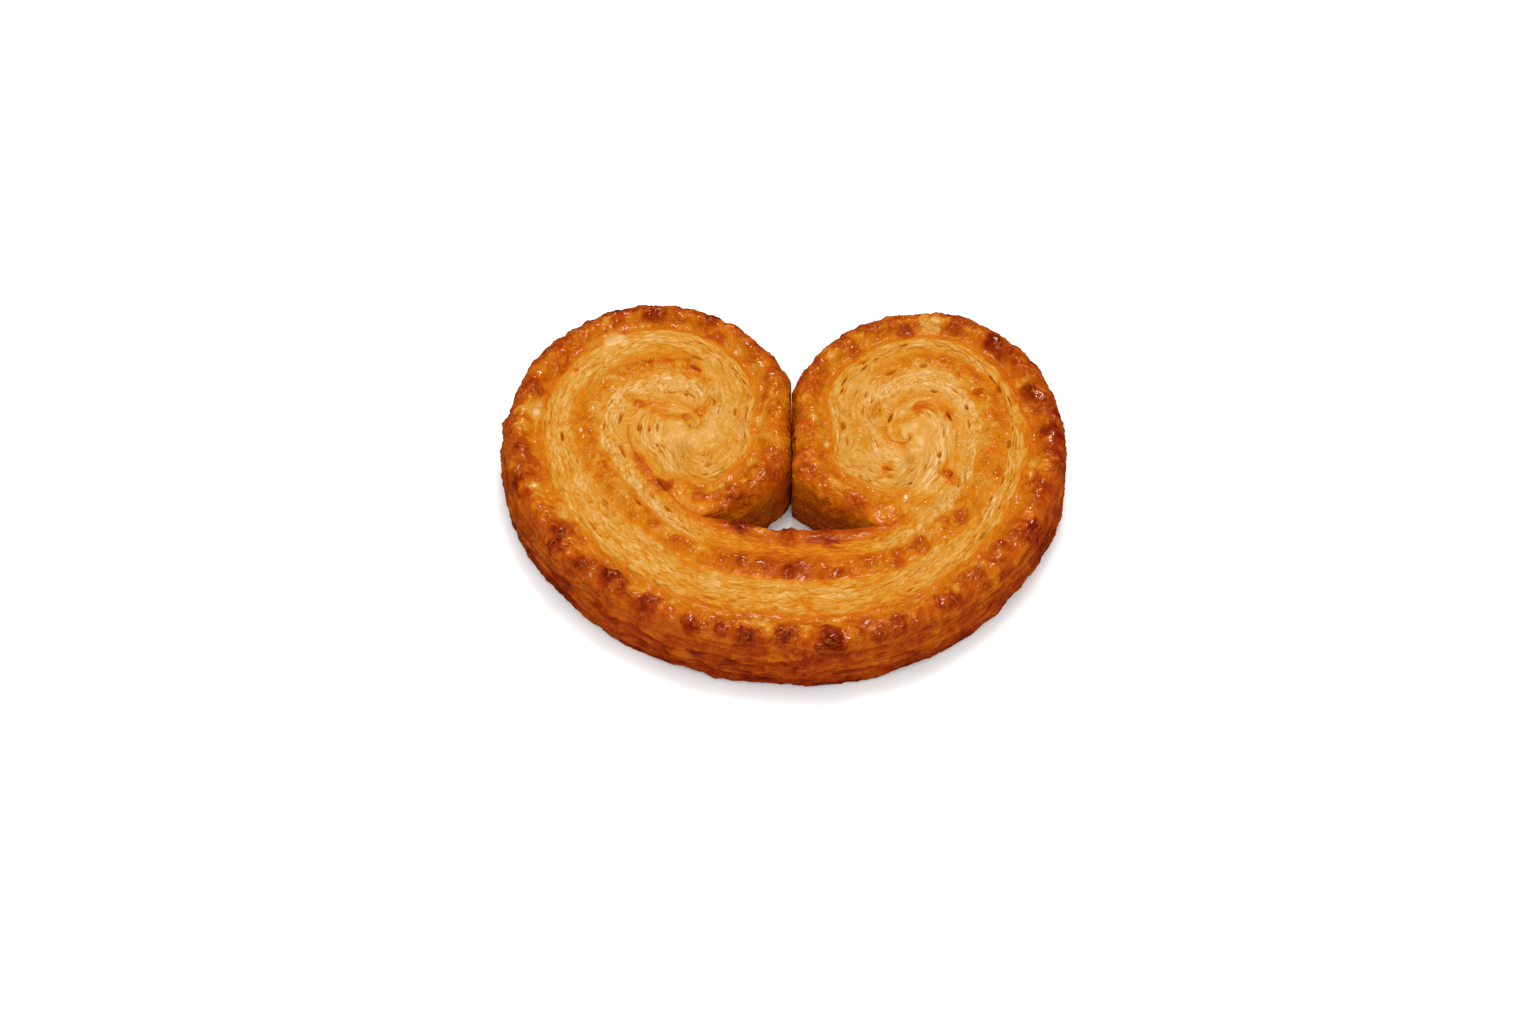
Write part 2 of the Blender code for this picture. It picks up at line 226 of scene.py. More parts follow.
left, right = coil_sections(LEFT_COIL), coil_sections(RIGHT_COIL)
sheet = {name: np.concatenate([left[name][::-1], right[name]]) for name in left}
SECTIONS = len(sheet["angle"])
middle_line = 0.5 * (sheet["outer"] + sheet["inner"])
middle_steps = np.linalg.norm(np.diff(middle_line, axis=0), axis=1)
along = np.concatenate([[0.0], np.cumsum(middle_steps)])
along -= along[len(left["angle"])]  # zero in the middle of the front
print(SECTIONS, "sections along", round(along[-1] - along[0]), "mm of rolled sheet")

# %% [markdown]
# ## The height of the cut edge
# A cross-section runs up the outer wall, over the crust's crest, down into the groove of set
# sugar, across the pale dough, over the browned vein in the middle of the sheet, across the
# inner dough and down the far side. Each named station has a place and a height, once for
# where the sheet's face is free and once for where it is wound against the next turn. Inside
# the coil the walls can't be seen, so there they stand straight and only close the body. Two
# closed faces meet at one height, which dips a little where the turn begins. The crest comes
# down there first, and the crust narrows and turns pale over a longer stretch behind it.

# %% Stations of the cross-section
# name, rows to the next, measured from, free place, free height, wound share, wound height;
# places and heights are in millimetres, and a share is one of the sheet's thickness
STATIONS = (
    ("foot", 3, "outer", 1.3, 0.0, 0.0, 0.0),
    ("foot_turn", 3, "outer", 0.35, 0.55, 0.0, 1.0),
    ("low_wall", 6, "outer", 0.0, 2.6, 0.0, 3.0),
    ("belly", 6, "outer", 0.0, 5.6, 0.0, 5.6),
    ("high_wall", 5, "outer", 0.2, 8.4, 0.0, 8.0),
    ("shoulder", 4, "outer", 0.9, 10.4, 0.0, 9.6),
    ("brow", 7, "outer", 1.9, 11.3, 0.003, 10.98),
    ("crest", 9, "outer", 3.4, 11.8, 0.05, 11.0),
    ("groove", 4, "outer", 5.9, 10.5, 0.10, 11.0),
    ("crust_edge", 6, "outer", 6.7, 10.75, 0.14, 11.0),
    ("dough_rise", 14, "outer", 7.8, 11.15, 0.20, 11.05),
    ("dough_middle", 14, "between", 0.5, 11.2, 0.34, 11.15),
    ("syrup_edge", 11, "vein", -2.7, 10.75, 0.50, 11.0),
    ("vein", 9, "vein", 0.0, 11.5, 0.62, 11.15),
    ("vein_edge", 9, "vein", 1.9, 11.05, 0.70, 11.05),
    ("inner_middle", 9, "between", 0.5, 11.15, 0.80, 11.1),
    ("inner_edge", 6, "inner", 3.4, 10.95, 0.90, 11.0),
    ("inner_crest", 5, "inner", 2.0, 11.6, 0.95, 11.0),
    ("inner_brow", 4, "inner", 0.9, 11.1, 0.997, 10.98),
    ("inner_shoulder", 5, "inner", 0.2, 9.6, 1.0, 9.6),
    ("inner_wall", 5, "inner", 0.0, 6.0, 1.0, 6.0),
    ("inner_turn", 3, "inner", 0.3, 2.3, 1.0, 2.3),
    ("inner_foot", 0, "inner", 1.6, 0.0, 1.0, 0.0),
)
STATION = {row[0]: k for k, row in enumerate(STATIONS)}
print(len(STATIONS), "stations with", sum(row[1] for row in STATIONS), "rows between them")

# %% Place and height of each station
HOLE_WALLS = (270, 305)  # degrees over which the outer wall turns to face the hole
VEIN_FADE = (130, 235)  # degrees over which the vein turns pale on its way round the lobe
VEIN_LOSS = 0.85  # the share of its strength that the vein loses there
FACE_DIP = 0.3  # how much lower two closed faces meet where the turn begins

thickness, closed, wound, tucked = (sheet[k] for k in ("thickness", "closed", "wound", "tucked"))
level = sheet["level"]
vein_strength = 1 - VEIN_LOSS * smooth_step(sheet["angle"], *VEIN_FADE)
vein_place = thickness * sheet["vein"]


def station_place(row):
    """Distance from the outer face: the free place and the wound share, mixed by the winding."""
    name, _, origin, free, _, share, _ = row
    if origin == "inner":
        return (thickness - free) * (1 - tucked) + share * thickness * tucked
    start = vein_place if origin == "vein" else 0.0
    mix = closed if STATION[name] <= STATION["brow"] else wound
    return (start + free) * (1 - mix) + share * thickness * mix


def station_height(row):
    """Height above the table, mixed in the same way; the vein sinks where it fades."""
    name, _, origin, _, free, _, rolled = row
    if name == "vein":
        free = rolled + (free - rolled) * vein_strength
    if name == "brow":
        return free * (1 - closed) + (rolled - FACE_DIP * sheet["outer_dip"]) * closed
    if name == "inner_brow":
        return free * (1 - tucked) + (rolled - FACE_DIP * sheet["inner_dip"]) * tucked
    mix = tucked if origin == "inner" else closed if STATION[name] < STATION["brow"] else level
    return free * (1 - mix) + rolled * mix


places = np.zeros((SECTIONS, len(STATIONS)))
for k, row in enumerate(STATIONS):
    if row[2] != "between":
        places[:, k] = station_place(row)
for k, row in enumerate(STATIONS):
    if row[2] == "between":
        halfway = 0.5 * (places[:, k - 1] + places[:, k + 1])
        places[:, k] = halfway * (1 - wound) + row[5] * thickness * wound
heights = np.stack([station_height(row) for row in STATIONS], axis=1)
print("the crest stands", round(float(heights.max()), 1), "mm above the table")

# %% [markdown]
# ## Rows between the stations
# The profile is a smooth curve through the stations of each section. Its knots are spaced by
# the distance between them, so that it neither bulges nor loops. All sections are worked out
# at once: knots, values and slopes are arrays with a line for each section.

# %% Curves through the stations
def through_stations(knots, values, counts, one_sided=()):
    """Cubic curves through each section's values, with the slope of a parabola at each knot.

    Where a share is given, a knot takes its slope from one neighbouring span alone.
    """
    span = np.diff(knots, axis=1)
    rise = np.diff(values, axis=1) / span
    slope = np.concatenate([rise[:, :1], rise], axis=1)
    leaning = span[:, 1:] * rise[:, :-1] + span[:, :-1] * rise[:, 1:]
    slope[:, 1:-1] = leaning / (span[:, 1:] + span[:, :-1])
    for knot, neighbour, share in one_sided:
        slope[:, knot] += share * (rise[:, neighbour] - slope[:, knot])
    rows = []
    for k, count in enumerate(counts):
        t = (np.arange(count) / count)[None, :]
        ends = (values[:, k, None], values[:, k + 1, None])
        rows.append(cubic(t, span[:, k, None], *ends, slope[:, k, None], slope[:, k + 1, None]))
    rows.append(values[:, -1:])
    return np.concatenate(rows, axis=1)


# %% Points of the upper surface
def in_plan(distance):
    """Plan points at a distance from the outer face, on the straight line to the inner face."""
    share = (distance / thickness[:, None])[..., None]
    return sheet["outer"][:, None, :] * (1 - share) + sheet["inner"][:, None, :] * share


KNOT_GAP = 0.05  # millimetres added between knots, so that no two fall together


def knots_from(steps):
    """Knots of every section: the running sum of its steps, from zero."""
    return np.concatenate([np.zeros((SECTIONS, 1)), np.cumsum(steps + KNOT_GAP, axis=1)], axis=1)


counts = [row[1] for row in STATIONS[:-1]]
knots = knots_from(np.hypot(np.diff(places, axis=1), np.diff(heights, axis=1)))
brow, inner_brow = STATION["brow"], STATION["inner_brow"]
# where two faces close on each other, the surface leaves the contact at the slope of the top
open_side = ((brow, brow, closed), (inner_brow, inner_brow - 1, tucked))
row_place = through_stations(knots, places, counts, open_side)
row_height = through_stations(knots, heights, counts, open_side)
ROWS = row_place.shape[1]
row_station = np.concatenate([k + np.arange(c) / c for k, c in enumerate(counts)] + [[len(counts)]])
across = through_stations(knots, knots, counts)  # length up the wall and over the top

base = np.concatenate([in_plan(row_place), row_height[..., None]], axis=2)
print("upper surface:", SECTIONS, "x", ROWS, "points")


def surface_normals(points):
    """Unit normals: the cross product of the steps along the sheet and the steps across it."""
    normal = np.cross(np.gradient(points, axis=0), np.gradient(points, axis=1))
    return normal / np.maximum(np.linalg.norm(normal, axis=2, keepdims=True), 1e-9)


# %% [markdown]
# ## Noise
# Baked dough is uneven at every scale. Gradient noise gives that: space is cut into cells,
# each corner gets a slope of its own, and the slopes are blended smoothly between corners.
# Blender's noise works point by point, so this one is written with arrays. The same function
# serves in two dimensions, along and across the sheet, and in three. Each call gives the size
# of its lumps in millimetres and a seed of its own.

# %% Gradient noise
NOISE_GAIN = 1.6  # stretches the blended slopes to about -1 and 1


def corner_numbers(cells, seed):
    """A scrambled whole number for each lattice corner, the same on every run."""
    number = np.full(cells[0].shape, (seed * 2654435761 + 97) % 2**32, np.uint32)
    for cell in cells:
        number = (number ^ cell.astype(np.int64).astype(np.uint32)) * np.uint32(2246822507)
        number ^= number >> np.uint32(13)
        number *= np.uint32(3266489909)
        number ^= number >> np.uint32(16)
    return number


def noise(coordinates, seed):
    """Gradient noise between about -1 and 1: corner slopes blended by 6t^5 - 15t^4 + 10t^3."""
    cells = [np.floor(c) for c in coordinates]
    parts = [(c - cell).astype(np.float32) for c, cell in zip(coordinates, cells)]
    fades = [t * t * t * (t * (t * 6 - 15) + 10) for t in parts]
    total = np.zeros(parts[0].shape, np.float32)
    for corner in np.ndindex(*(2,) * len(cells)):
        number = corner_numbers([cell + step for cell, step in zip(cells, corner)], seed)
        weight, slope = np.float32(1.0), np.float32(0.0)
        for k, step in enumerate(corner):
            # ten of the number's bits, as a slope between -1 and 1
            lean = ((number >> np.uint32(10 * k)) & np.uint32(1023)).astype(np.float32) / 511.5 - 1
            slope = slope + lean * (parts[k] - step)
            weight = weight * (fades[k] if step else 1 - fades[k])
        total += weight * slope
    return total * NOISE_GAIN


# %% Patterns made from noise
PUFF_GAIN = 2.2
PUFF_FLOOR = 0.6


def scaled(points, size):
    """Coordinates for noise in space whose lumps are about the size given."""
    return [points[..., k] / size for k in range(3)]


def puffs(value):
    """Rounded puffs with sharp creases between them: the noise's distance from zero, stretched."""
    return PUFF_GAIN * np.abs(value) - PUFF_FLOOR


def creases(value, sharpness):
    """Thin lines where the noise crosses zero: 1 on the line, falling off by its sharpness."""
    return np.clip(1 - np.abs(value) * sharpness, 0.0, 1.0) ** 2


def bell(distance, width):
    """1 at no distance, falling off as e to the minus squared distance over the width."""
    return np.exp(-((distance / width) ** 2))


def weighted(*terms):
    """The sum of patterns, each times its own weight."""
    return sum(weight * pattern for weight, pattern in terms)


trial = noise(scaled(base[:, ::10], 3.0), 1)
print("noise runs from", round(float(trial.min()), 2), "to", round(float(trial.max()), 2))

# %% [markdown]
# ## What lies where
# Browning, lumps, strands, folds and shine all change from station to station. Real bands
# aren't ruled lines, so each point looks its values up at a place shifted by noise: the
# bands wander by about a millimetre, and the rows of the mesh stay straight.

# %% Finish of each station, free and wound
INSIDE_COIL = (0.45, 0.1, 0.0, 0.0, 0.05)  # plain, because it is hidden
# name: browning, lumps, strands, folds, shine where free; the same where wound
FINISH = {
    "foot": ((0.80, 0.3, 0.1, 0.6, 0.05), INSIDE_COIL),
    "foot_turn": ((0.75, 0.4, 0.2, 0.9, 0.15), INSIDE_COIL),
    "low_wall": ((0.64, 0.5, 0.35, 1.0, 0.35), INSIDE_COIL),
    "belly": ((0.60, 0.5, 0.35, 1.0, 0.45), INSIDE_COIL),
    "high_wall": ((0.60, 0.6, 0.3, 0.85, 0.6), (0.42, 0.1, 0.0, 0.0, 0.05)),
    "shoulder": ((0.65, 0.7, 0.1, 0.4, 0.85), (0.38, 0.1, 0.1, 0.0, 0.1)),
    "brow": ((0.68, 0.8, 0.0, 0.2, 1.0), (0.32, 0.3, 0.3, 0.0, 0.3)),
    "crest": ((0.62, 1.0, 0.0, 0.1, 1.0), (0.28, 0.3, 0.5, 0.0, 0.3)),
    "groove": ((0.47, 0.5, 0.1, 0.0, 0.55), (0.22, 0.2, 0.7, 0.0, 0.2)),
    "crust_edge": ((0.42, 0.1, 0.4, 0.0, 0.35), (0.17, 0.1, 0.9, 0.0, 0.1)),
    "dough_rise": ((0.19, 0.0, 1.0, 0.0, 0.1), (0.11, 0.0, 1.0, 0.0, 0.1)),
    "dough_middle": ((0.155, 0.0, 1.0, 0.0, 0.1), (0.09, 0.0, 1.0, 0.0, 0.1)),
    "syrup_edge": ((0.38, 0.3, 0.3, 0.0, 0.5), (0.14, 0.1, 0.9, 0.0, 0.1)),
    "vein": ((0.46, 1.0, 0.1, 0.0, 0.9), (0.18, 0.2, 0.9, 0.0, 0.2)),
    "vein_edge": ((0.34, 0.4, 0.5, 0.0, 0.55), (0.12, 0.1, 1.0, 0.0, 0.1)),
    "inner_middle": ((0.18, 0.1, 1.0, 0.0, 0.2), (0.09, 0.0, 1.0, 0.0, 0.1)),
    "inner_edge": ((0.34, 0.3, 0.6, 0.0, 0.5), (0.14, 0.1, 0.9, 0.0, 0.1)),
    "inner_crest": ((0.59, 1.0, 0.1, 0.1, 0.9), (0.24, 0.3, 0.6, 0.0, 0.3)),
    "inner_brow": ((0.64, 0.9, 0.0, 0.3, 0.9), (0.32, 0.3, 0.3, 0.0, 0.3)),
    "inner_shoulder": ((0.60, 0.7, 0.0, 0.6, 0.5), (0.38, 0.1, 0.0, 0.0, 0.05)),
    "inner_wall": ((0.60, 0.4, 0.0, 1.0, 0.2), INSIDE_COIL),
    "inner_turn": ((0.70, 0.4, 0.0, 1.0, 0.1), INSIDE_COIL),
    "inner_foot": ((0.80, 0.3, 0.0, 0.6, 0.05), INSIDE_COIL),
}
print(len(FINISH), "stations have a finish")

# %% Qualities over the whole surface
WANDER = 0.42  # in stations, each one or two millimetres wide
LAST_PLACE = len(STATIONS) - 1.001  # just short of the last station, so that a next one exists
# between a station and the next, the part of the way over which its finish gives way
EDGE_WINDOWS = {
    "crust_edge": (0.1, 0.7),
    "dough_middle": (0.6, 1.0),
    "vein_edge": (0.0, 0.45),
    "inner_middle": (0.5, 1.0),
}

from_inner = STATION["inner_middle"]
wander = WANDER * weighted((1.0, noise(scaled(base, 5.0), 3)), (0.5, noise(scaled(base, 1.9), 4)))
looked_up = np.clip(row_station[None, :] + wander, 0, LAST_PLACE)
below = looked_up.astype(int)
fraction = looked_up - below
for name, window in EDGE_WINDOWS.items():
    fraction = np.where(below == STATION[name], smooth_step(fraction, *window), fraction)


def finish_field(k):
    """One quality over the whole surface, mixed between free and wound and between stations."""
    free = np.array([FINISH[row[0]][0][k] for row in STATIONS])
    rolled = np.array([FINISH[row[0]][1][k] for row in STATIONS])
    mix = np.where(np.arange(len(STATIONS)) >= from_inner, tucked[:, None], wound[:, None])
    mix[:, : STATION["crest"]] = closed[:, None]
    mix[:, STATION["crest"]] = 0.5 * (closed + wound)
    faded = 1 - vein_strength
    for name in ("syrup_edge", "vein", "vein_edge"):
        mix[:, STATION[name]] = np.maximum(mix[:, STATION[name]], faded)
    value = free * (1 - mix) + rolled * mix
    low = np.take_along_axis(value, below, axis=1)
    high = np.take_along_axis(value, below + 1, axis=1)
    return (low * (1 - fraction) + high * fraction).astype(np.float32)


browning, lumps, strands, folds, shine = (finish_field(k) for k in range(5))
print("strands cover", round(100 * float(strands.mean())), "% of the surface, folds", end=" ")
print(round(100 * float(folds.mean())), "%")

# %% [markdown]
# ## Relief of crust, wall and dough
# Three kinds of relief share the surface. The crust puffs up, and its skin is raised in curly
# wrinkles. The wall shows the folded edges of hundreds of layers, which run along it. The
# dough is a bundle of strands along the sheet, pulled apart here and there. Each is a height
# in millimetres, and its share comes from the fields above.

# %% Heights of the three kinds
EYE_FLAT = (0.2, 2.2)  # millimetres from the eye over which the relief comes in
EYE_SMOOTH = (2.0, 8.0)  # millimetres from the eye over which the strands come in
EYE_STRANDS = 0.2  # the share of strands that is left at the eye
HOLE_FOLDS = 0.3  # the share of folds that the walls round the hole keep

eye_gap = np.linalg.norm(base[..., :2] - sheet["eye"][:, None, :], axis=2)
off_eye = smooth_step(eye_gap, *EYE_FLAT)
strands *= EYE_STRANDS + (1 - EYE_STRANDS) * smooth_step(eye_gap, *EYE_SMOOTH)
line = np.broadcast_to(along[:, None], across.shape)

broad_puffs = puffs(noise(scaled(base, 3.6), 11))
small_puffs = puffs(noise(scaled(base, 1.7), 12))
curl = np.stack([noise(scaled(base, 1.7), seed) for seed in (14, 15, 16)], axis=2)
wrinkled = smooth_step(noise(scaled(base, 4.0), 17), -0.45, 0.05)
wrinkles = wrinkled * creases(noise(scaled(base + 0.7 * curl, 1.7), 13), 2.2)
fine_wrinkles = creases(noise(scaled(base + 0.5 * curl, 1.0), 18), 2.0)
crust_height = weighted(
    (0.42, broad_puffs), (0.14, small_puffs), (0.32, wrinkles), (0.15, fine_wrinkles)
)


def drawn_out(length, width, seed, bent=0.0):
    """Noise along and across the sheet, with lumps of a length and a width, shifted by a bend."""
    return noise([line / length, (across + bent) / width], seed)


folds *= 1 - (1 - HOLE_FOLDS) * smooth_step(sheet["angle"], *HOLE_WALLS)[:, None]
bend = weighted((0.9, drawn_out(8.0, 4.0, 21)), (0.3, drawn_out(2.6, 1.6, 22)))
fold_edges = drawn_out(8.0, 1.7, 23, bend)
fold_lines = creases(drawn_out(6.0, 1.5, 24, bend), 3.0)
wall_height = weighted((0.46, fold_edges), (-0.34, fold_lines))

strand_bend = weighted((0.7, drawn_out(3.6, 2.4, 31)), (0.4, drawn_out(1.6, 1.0, 32)))
broad_strands = drawn_out(3.5, 1.0, 33, strand_bend)
fine_strands = drawn_out(1.8, 0.55, 34, strand_bend)
gaps = creases(drawn_out(3.6, 0.9, 35, strand_bend), 4.5)
dough_height = weighted((0.26, broad_strands), (0.15, fine_strands), (-0.18, gaps))
for label, relief in (("crust", crust_height), ("wall", wall_height), ("dough", dough_height)):
    print(label, "relief spreads by", round(float(relief.std()), 2), "mm")

# %% [markdown]
# Where two turns press on each other, both faces must carry the same relief, or a crack would
# open between them. So the strands, which differ from turn to turn, fade out towards such a
# face. The rest is noise in space, which is the same on both sides. The walls down inside the
# coil are hidden and stay plain.

# %% Relief that meets at the faces
FACE_FADE = (0.2, 1.6)  # millimetres from a pressed face over which the strands come in
SWELL = 0.30  # millimetres by which the whole pastry rises and falls

from_outer, from_inner_face = row_place, thickness[:, None] - row_place
pressed = 1 - closed[:, None] * (1 - smooth_step(from_outer, *FACE_FADE))
pressed *= 1 - tucked[:, None] * (1 - smooth_step(from_inner_face, *FACE_FADE))
hidden = closed[:, None] * (row_station < STATION["brow"])
hidden = np.maximum(hidden, tucked[:, None] * (row_station > STATION["inner_brow"]))

height = lumps * crust_height + SWELL * noise(scaled(base, 11.0), 41) * off_eye
height += pressed * (folds * wall_height + strands * off_eye * dough_height)
height *= 1 - hidden
print("relief between", round(float(height.min()), 2), "and", round(float(height.max()), 2), "mm")

# %% [markdown]
# ## Blisters
# Where steam lifts the sugared skin, the crust swells in a blister that browns first. The
# large ones have places of their own, given as plan points in millimetres with a radius. The
# small ones are strewn along the crest. A blister is a dome: one minus the squared distance
# over the squared radius, with the distance roughened so that no two are alike.

# %% Places of the large blisters
RIM_BLISTERS = (
    (-16.3, -37.6, 2.1), (-11.1, -38.9, 1.6), (-7.4, -39.3, 1.9), (-0.8, -40.1, 2.0),
    (6.6, -40.5, 2.9), (14.4, -39.3, 1.8), (17.7, -38.0, 2.1), (25.1, -33.1, 2.4),
    (-36.8, -18.3, 2.5), (-38.3, -21.0, 2.0), (-32.9, -24.7, 2.2), (-27.9, -28.3, 2.4),
    (-22.9, -33.1, 2.2), (-43.4, 13.8, 2.4), (-38.6, 18.6, 2.3), (-45.5, -1.4, 2.6),
    (-44.7, -7.4, 2.4), (-23.7, 30.6, 2.0), (-12.9, 25.2, 2.4), (41.8, -18.3, 2.2),
    (45.4, -2.3, 2.6), (44.9, 3.8, 2.4), (41.1, 12.9, 2.2), (35.5, 23.8, 2.3),
    (29.6, 27.3, 2.2), (20.1, 27.3, 2.0), (12.2, 22.1, 1.9),
)
VEIN_BLISTERS = (
    (-0.1, -27.0, 1.6), (6.8, -27.2, 2.2), (28.5, -15.0, 1.8), (22.2, -21.5, 1.6),
    (18.0, -24.7, 1.6), (-7.5, -24.7, 1.4), (35.2, -5.2, 1.3), (-0.2, -20.0, 2.0),
    (-7.7, -17.4, 1.8), (6.4, -20.4, 1.6), (-20.8, -8.0, 1.6), (-15.0, -10.7, 1.5),
    (-9.2, -10.0, 1.8), (26.8, -5.4, 1.3), (32.7, 12.9, 1.1),
    (22.4, 9.6, 1.5), (27.0, 7.3, 0.9), (-25.6, 10.4, 1.2), (-17.6, 7.2, 1.0),
    (-0.8, -16.6, 1.7), (6.3, -16.4, 1.3), (-8.3, -15.6, 1.4),
)
PALE_PATCHES = (
    (-43.5, 9.0, 2.2), (-45.4, 4.9, 1.6), (-43.3, -7.8, 1.5), (-24.5, -30.5, 2.0),
    (-6.6, -38.2, 1.2), (-4.0, -38.9, 1.4), (2.6, -39.9, 1.3), (10.5, -40.0, 1.6),
    (24.9, 28.8, 2.4), (-38.0, -14.0, 2.0), (33.5, -26.5, 1.8), (-30.0, 25.5, 2.0),
    (-4.5, -17.4, 1.2),
)
# plan points, reach in radii, lift in radii, browning
BLISTER_KINDS = (
    (RIM_BLISTERS, 1.0, 0.23, 0.21),
    (VEIN_BLISTERS, 1.0, 0.26, 0.18),
    (PALE_PATCHES, 1.2, 0.08, -0.30),
)
print(sum(len(kind[0]) for kind in BLISTER_KINDS), "blisters and patches with places of their own")

# %% How a blister is raised
UNEVEN = 0.55  # how far a blister's outline strays from a circle, as a share of its radius
CLOSEST = 3.0  # how many times closer sections may stand on the inner face than on the outer
BLISTER_SHINE = 0.3
roughened = 1 + UNEVEN * noise(scaled(base, 1.9), 51)


def nearest_point(x, y):
    """Section and row of the upper surface's point that lies nearest to a plan point."""
    first, last = STATION["shoulder"], STATION["inner_brow"]
    rows = np.flatnonzero((row_station >= first) & (row_station <= last))
    gap = np.hypot(base[:, rows, 0] - x, base[:, rows, 1] - y)
    i, j = np.unravel_index(np.argmin(gap), gap.shape)
    return i, rows[j]


def near(i, reach):
    """The stretch of sections that surely holds all points within a reach of section i."""
    steps_each_way = int(CLOSEST * reach / SECTION_SPACING) + 2
    return slice(max(i - steps_each_way, 0), min(i + steps_each_way, SECTIONS))


def add_blister(i, j, radius, lift, brown):
    """Raises a dome round one point, one minus the squared share of the radius, and browns it."""
    part = near(i, radius)
    gap = np.linalg.norm(base[part] - base[i, j], axis=2) * roughened[part] / radius
    dome = np.clip(1 - gap * gap, 0.0, 1.0)
    height[part] += lift * dome
    browning[part] += brown * (smooth_step(dome, 0.0, 0.7) if brown > 0 else dome)
    shine[part] += BLISTER_SHINE * dome


for plan_points, reach, lift, brown in BLISTER_KINDS:
    for x, y, radius in plan_points:
        add_blister(*nearest_point(x, y), reach * radius, lift * radius, brown)
print("with blisters the relief rises to", round(float(height.max()), 2), "mm")


# %% Small blisters and beads
def rows_between(first, last):
    """The rows that lie between two places counted in stations."""
    return np.flatnonzero((row_station > first) & (row_station < last))


SMALL_BLISTERS = 330
VEIN_BEADS = 170
BEAD_RADII = (0.6, 1.6)  # millimetres
BEAD_LIFTS = (0.08, 0.24)  # in radii
BEAD_BROWNING = (-0.11, 0.11)
STRONG_VEIN = 0.6  # a fainter vein has no beads

free_sections = np.flatnonzero(wound < 0.5)
crust_rows = rows_between(STATION["belly"], STATION["groove"] - 0.3)
vein_rows = rows_between(STATION["vein"] - 0.7, STATION["vein"] + 0.7)
for rows, number in ((crust_rows, SMALL_BLISTERS), (vein_rows, VEIN_BEADS)):
    for _ in range(number):
        i, j = random.choice(free_sections), random.choice(rows)
        if rows is crust_rows or vein_strength[i] > STRONG_VEIN:
            radius = random.uniform(*BEAD_RADII)
            lift = random.uniform(*BEAD_LIFTS) * radius
            add_blister(i, j, radius, lift, random.uniform(*BEAD_BROWNING))
print(SMALL_BLISTERS, "small blisters on", len(crust_rows), "rows of the crust")

# %% [markdown]
# The lobes were soft when they met, so round the front end of their seam the crust bulges
# and closes the gap a little further.

# %% Bulge at the front end of the seam
SEAM_BULGE = 0.9  # millimetres
BULGE_REACH = 4.0  # millimetres
SEAM_TOUCH = 0.3  # millimetres within which a wall counts as touching the seam

wall_rows = row_station[None, :] < STATION["brow"]
beside_hole = sheet["angle"][:, None] > HOLE_WALLS[0]
touching = (np.abs(base[..., 0] - SEAM_X) < SEAM_TOUCH) & wall_rows & beside_hole
seam_front = base[touching, 1].min()
gap = np.hypot(base[..., 0] - SEAM_X, base[..., 1] - seam_front) / BULGE_REACH
height += SEAM_BULGE * np.clip(1 - gap * gap, 0.0, 1.0) * wall_rows
print("the seam ends at", round(float(seam_front), 1), "mm")

# %% [markdown]
# ## Slits between the layers
# Where two layers of dough part, a slit opens: a lens along the sheet, deep in the middle and
# closed at both ends. It shows amber inside, because melted sugar ran in.

# %% Large slits
# plan point, half the length, half the width
LARGE_SLITS = (
    (17.2, 7.4, 1.2, 0.50), (27.2, 7.8, 1.2, 0.45), (24.9, 13.3, 0.7, 0.40),
    (-25.4, 5.3, 1.1, 0.40), (-17.4, 12.9, 0.6, 0.40), (-28.1, -0.3, 1.7, 0.35),
    (-28.7, 7.4, 1.5, 0.30), (-13.6, -3.4, 0.9, 0.30), (-15.9, 21.2, 1.5, 0.35),
    (-15.9, 18.2, 1.2, 0.35), (-24.5, 19.8, 0.8, 0.30), (23.1, 18.9, 0.7, 0.35),
    (17.6, 17.7, 1.0, 0.35), (9.2, 5.8, 1.1, 0.40), (30.4, 9.7, 0.8, 0.30),
    (25.4, -1.2, 1.1, 0.30), (16.6, -4.5, 1.2, 0.30), (-9.2, 8.6, 1.2, 0.25),
    (36.0, 14.0, 1.2, 0.30), (37.2, 1.5, 1.0, 0.30), (-38.5, 3.0, 1.3, 0.30),
    (-25.0, -11.8, 1.2, 0.35),
)
LARGE_SLIT_DEPTH = 0.65  # millimetres
SLIT_AMBER = 0.42  # browning inside a slit in the palest dough
SLIT_MIX = 0.5  # the share of its own browning that the dough loses there


def add_slit(i, j, half_length, half_width, depth):
    """Lowers a lens: the depth times one minus the squared distance in half lengths and widths."""
    part = near(i, half_length)
    ahead = base[min(i + 2, SECTIONS - 1), j, :2] - base[max(i - 2, 0), j, :2]
    ahead = ahead / np.linalg.norm(ahead)
    gap = base[part, :, :2] - base[i, j, :2]
    lengthways = (gap @ ahead) / half_length
    sideways = (gap[..., 0] * -ahead[1] + gap[..., 1] * ahead[0]) / half_width
    on_top = (row_station > STATION["crest"]) & (row_station < STATION["inner_brow"])
    lens = np.clip(1 - (lengthways**2 + sideways**2) * roughened[part], 0.0, 1.0) * on_top
    height[part] -= depth * lens
    browning[part] += (SLIT_AMBER - SLIT_MIX * browning[part]) * lens


for x, y, half_length, half_width in LARGE_SLITS:
    add_slit(*nearest_point(x, y), half_length, half_width, LARGE_SLIT_DEPTH)
print(len(LARGE_SLITS), "slits with places of their own")

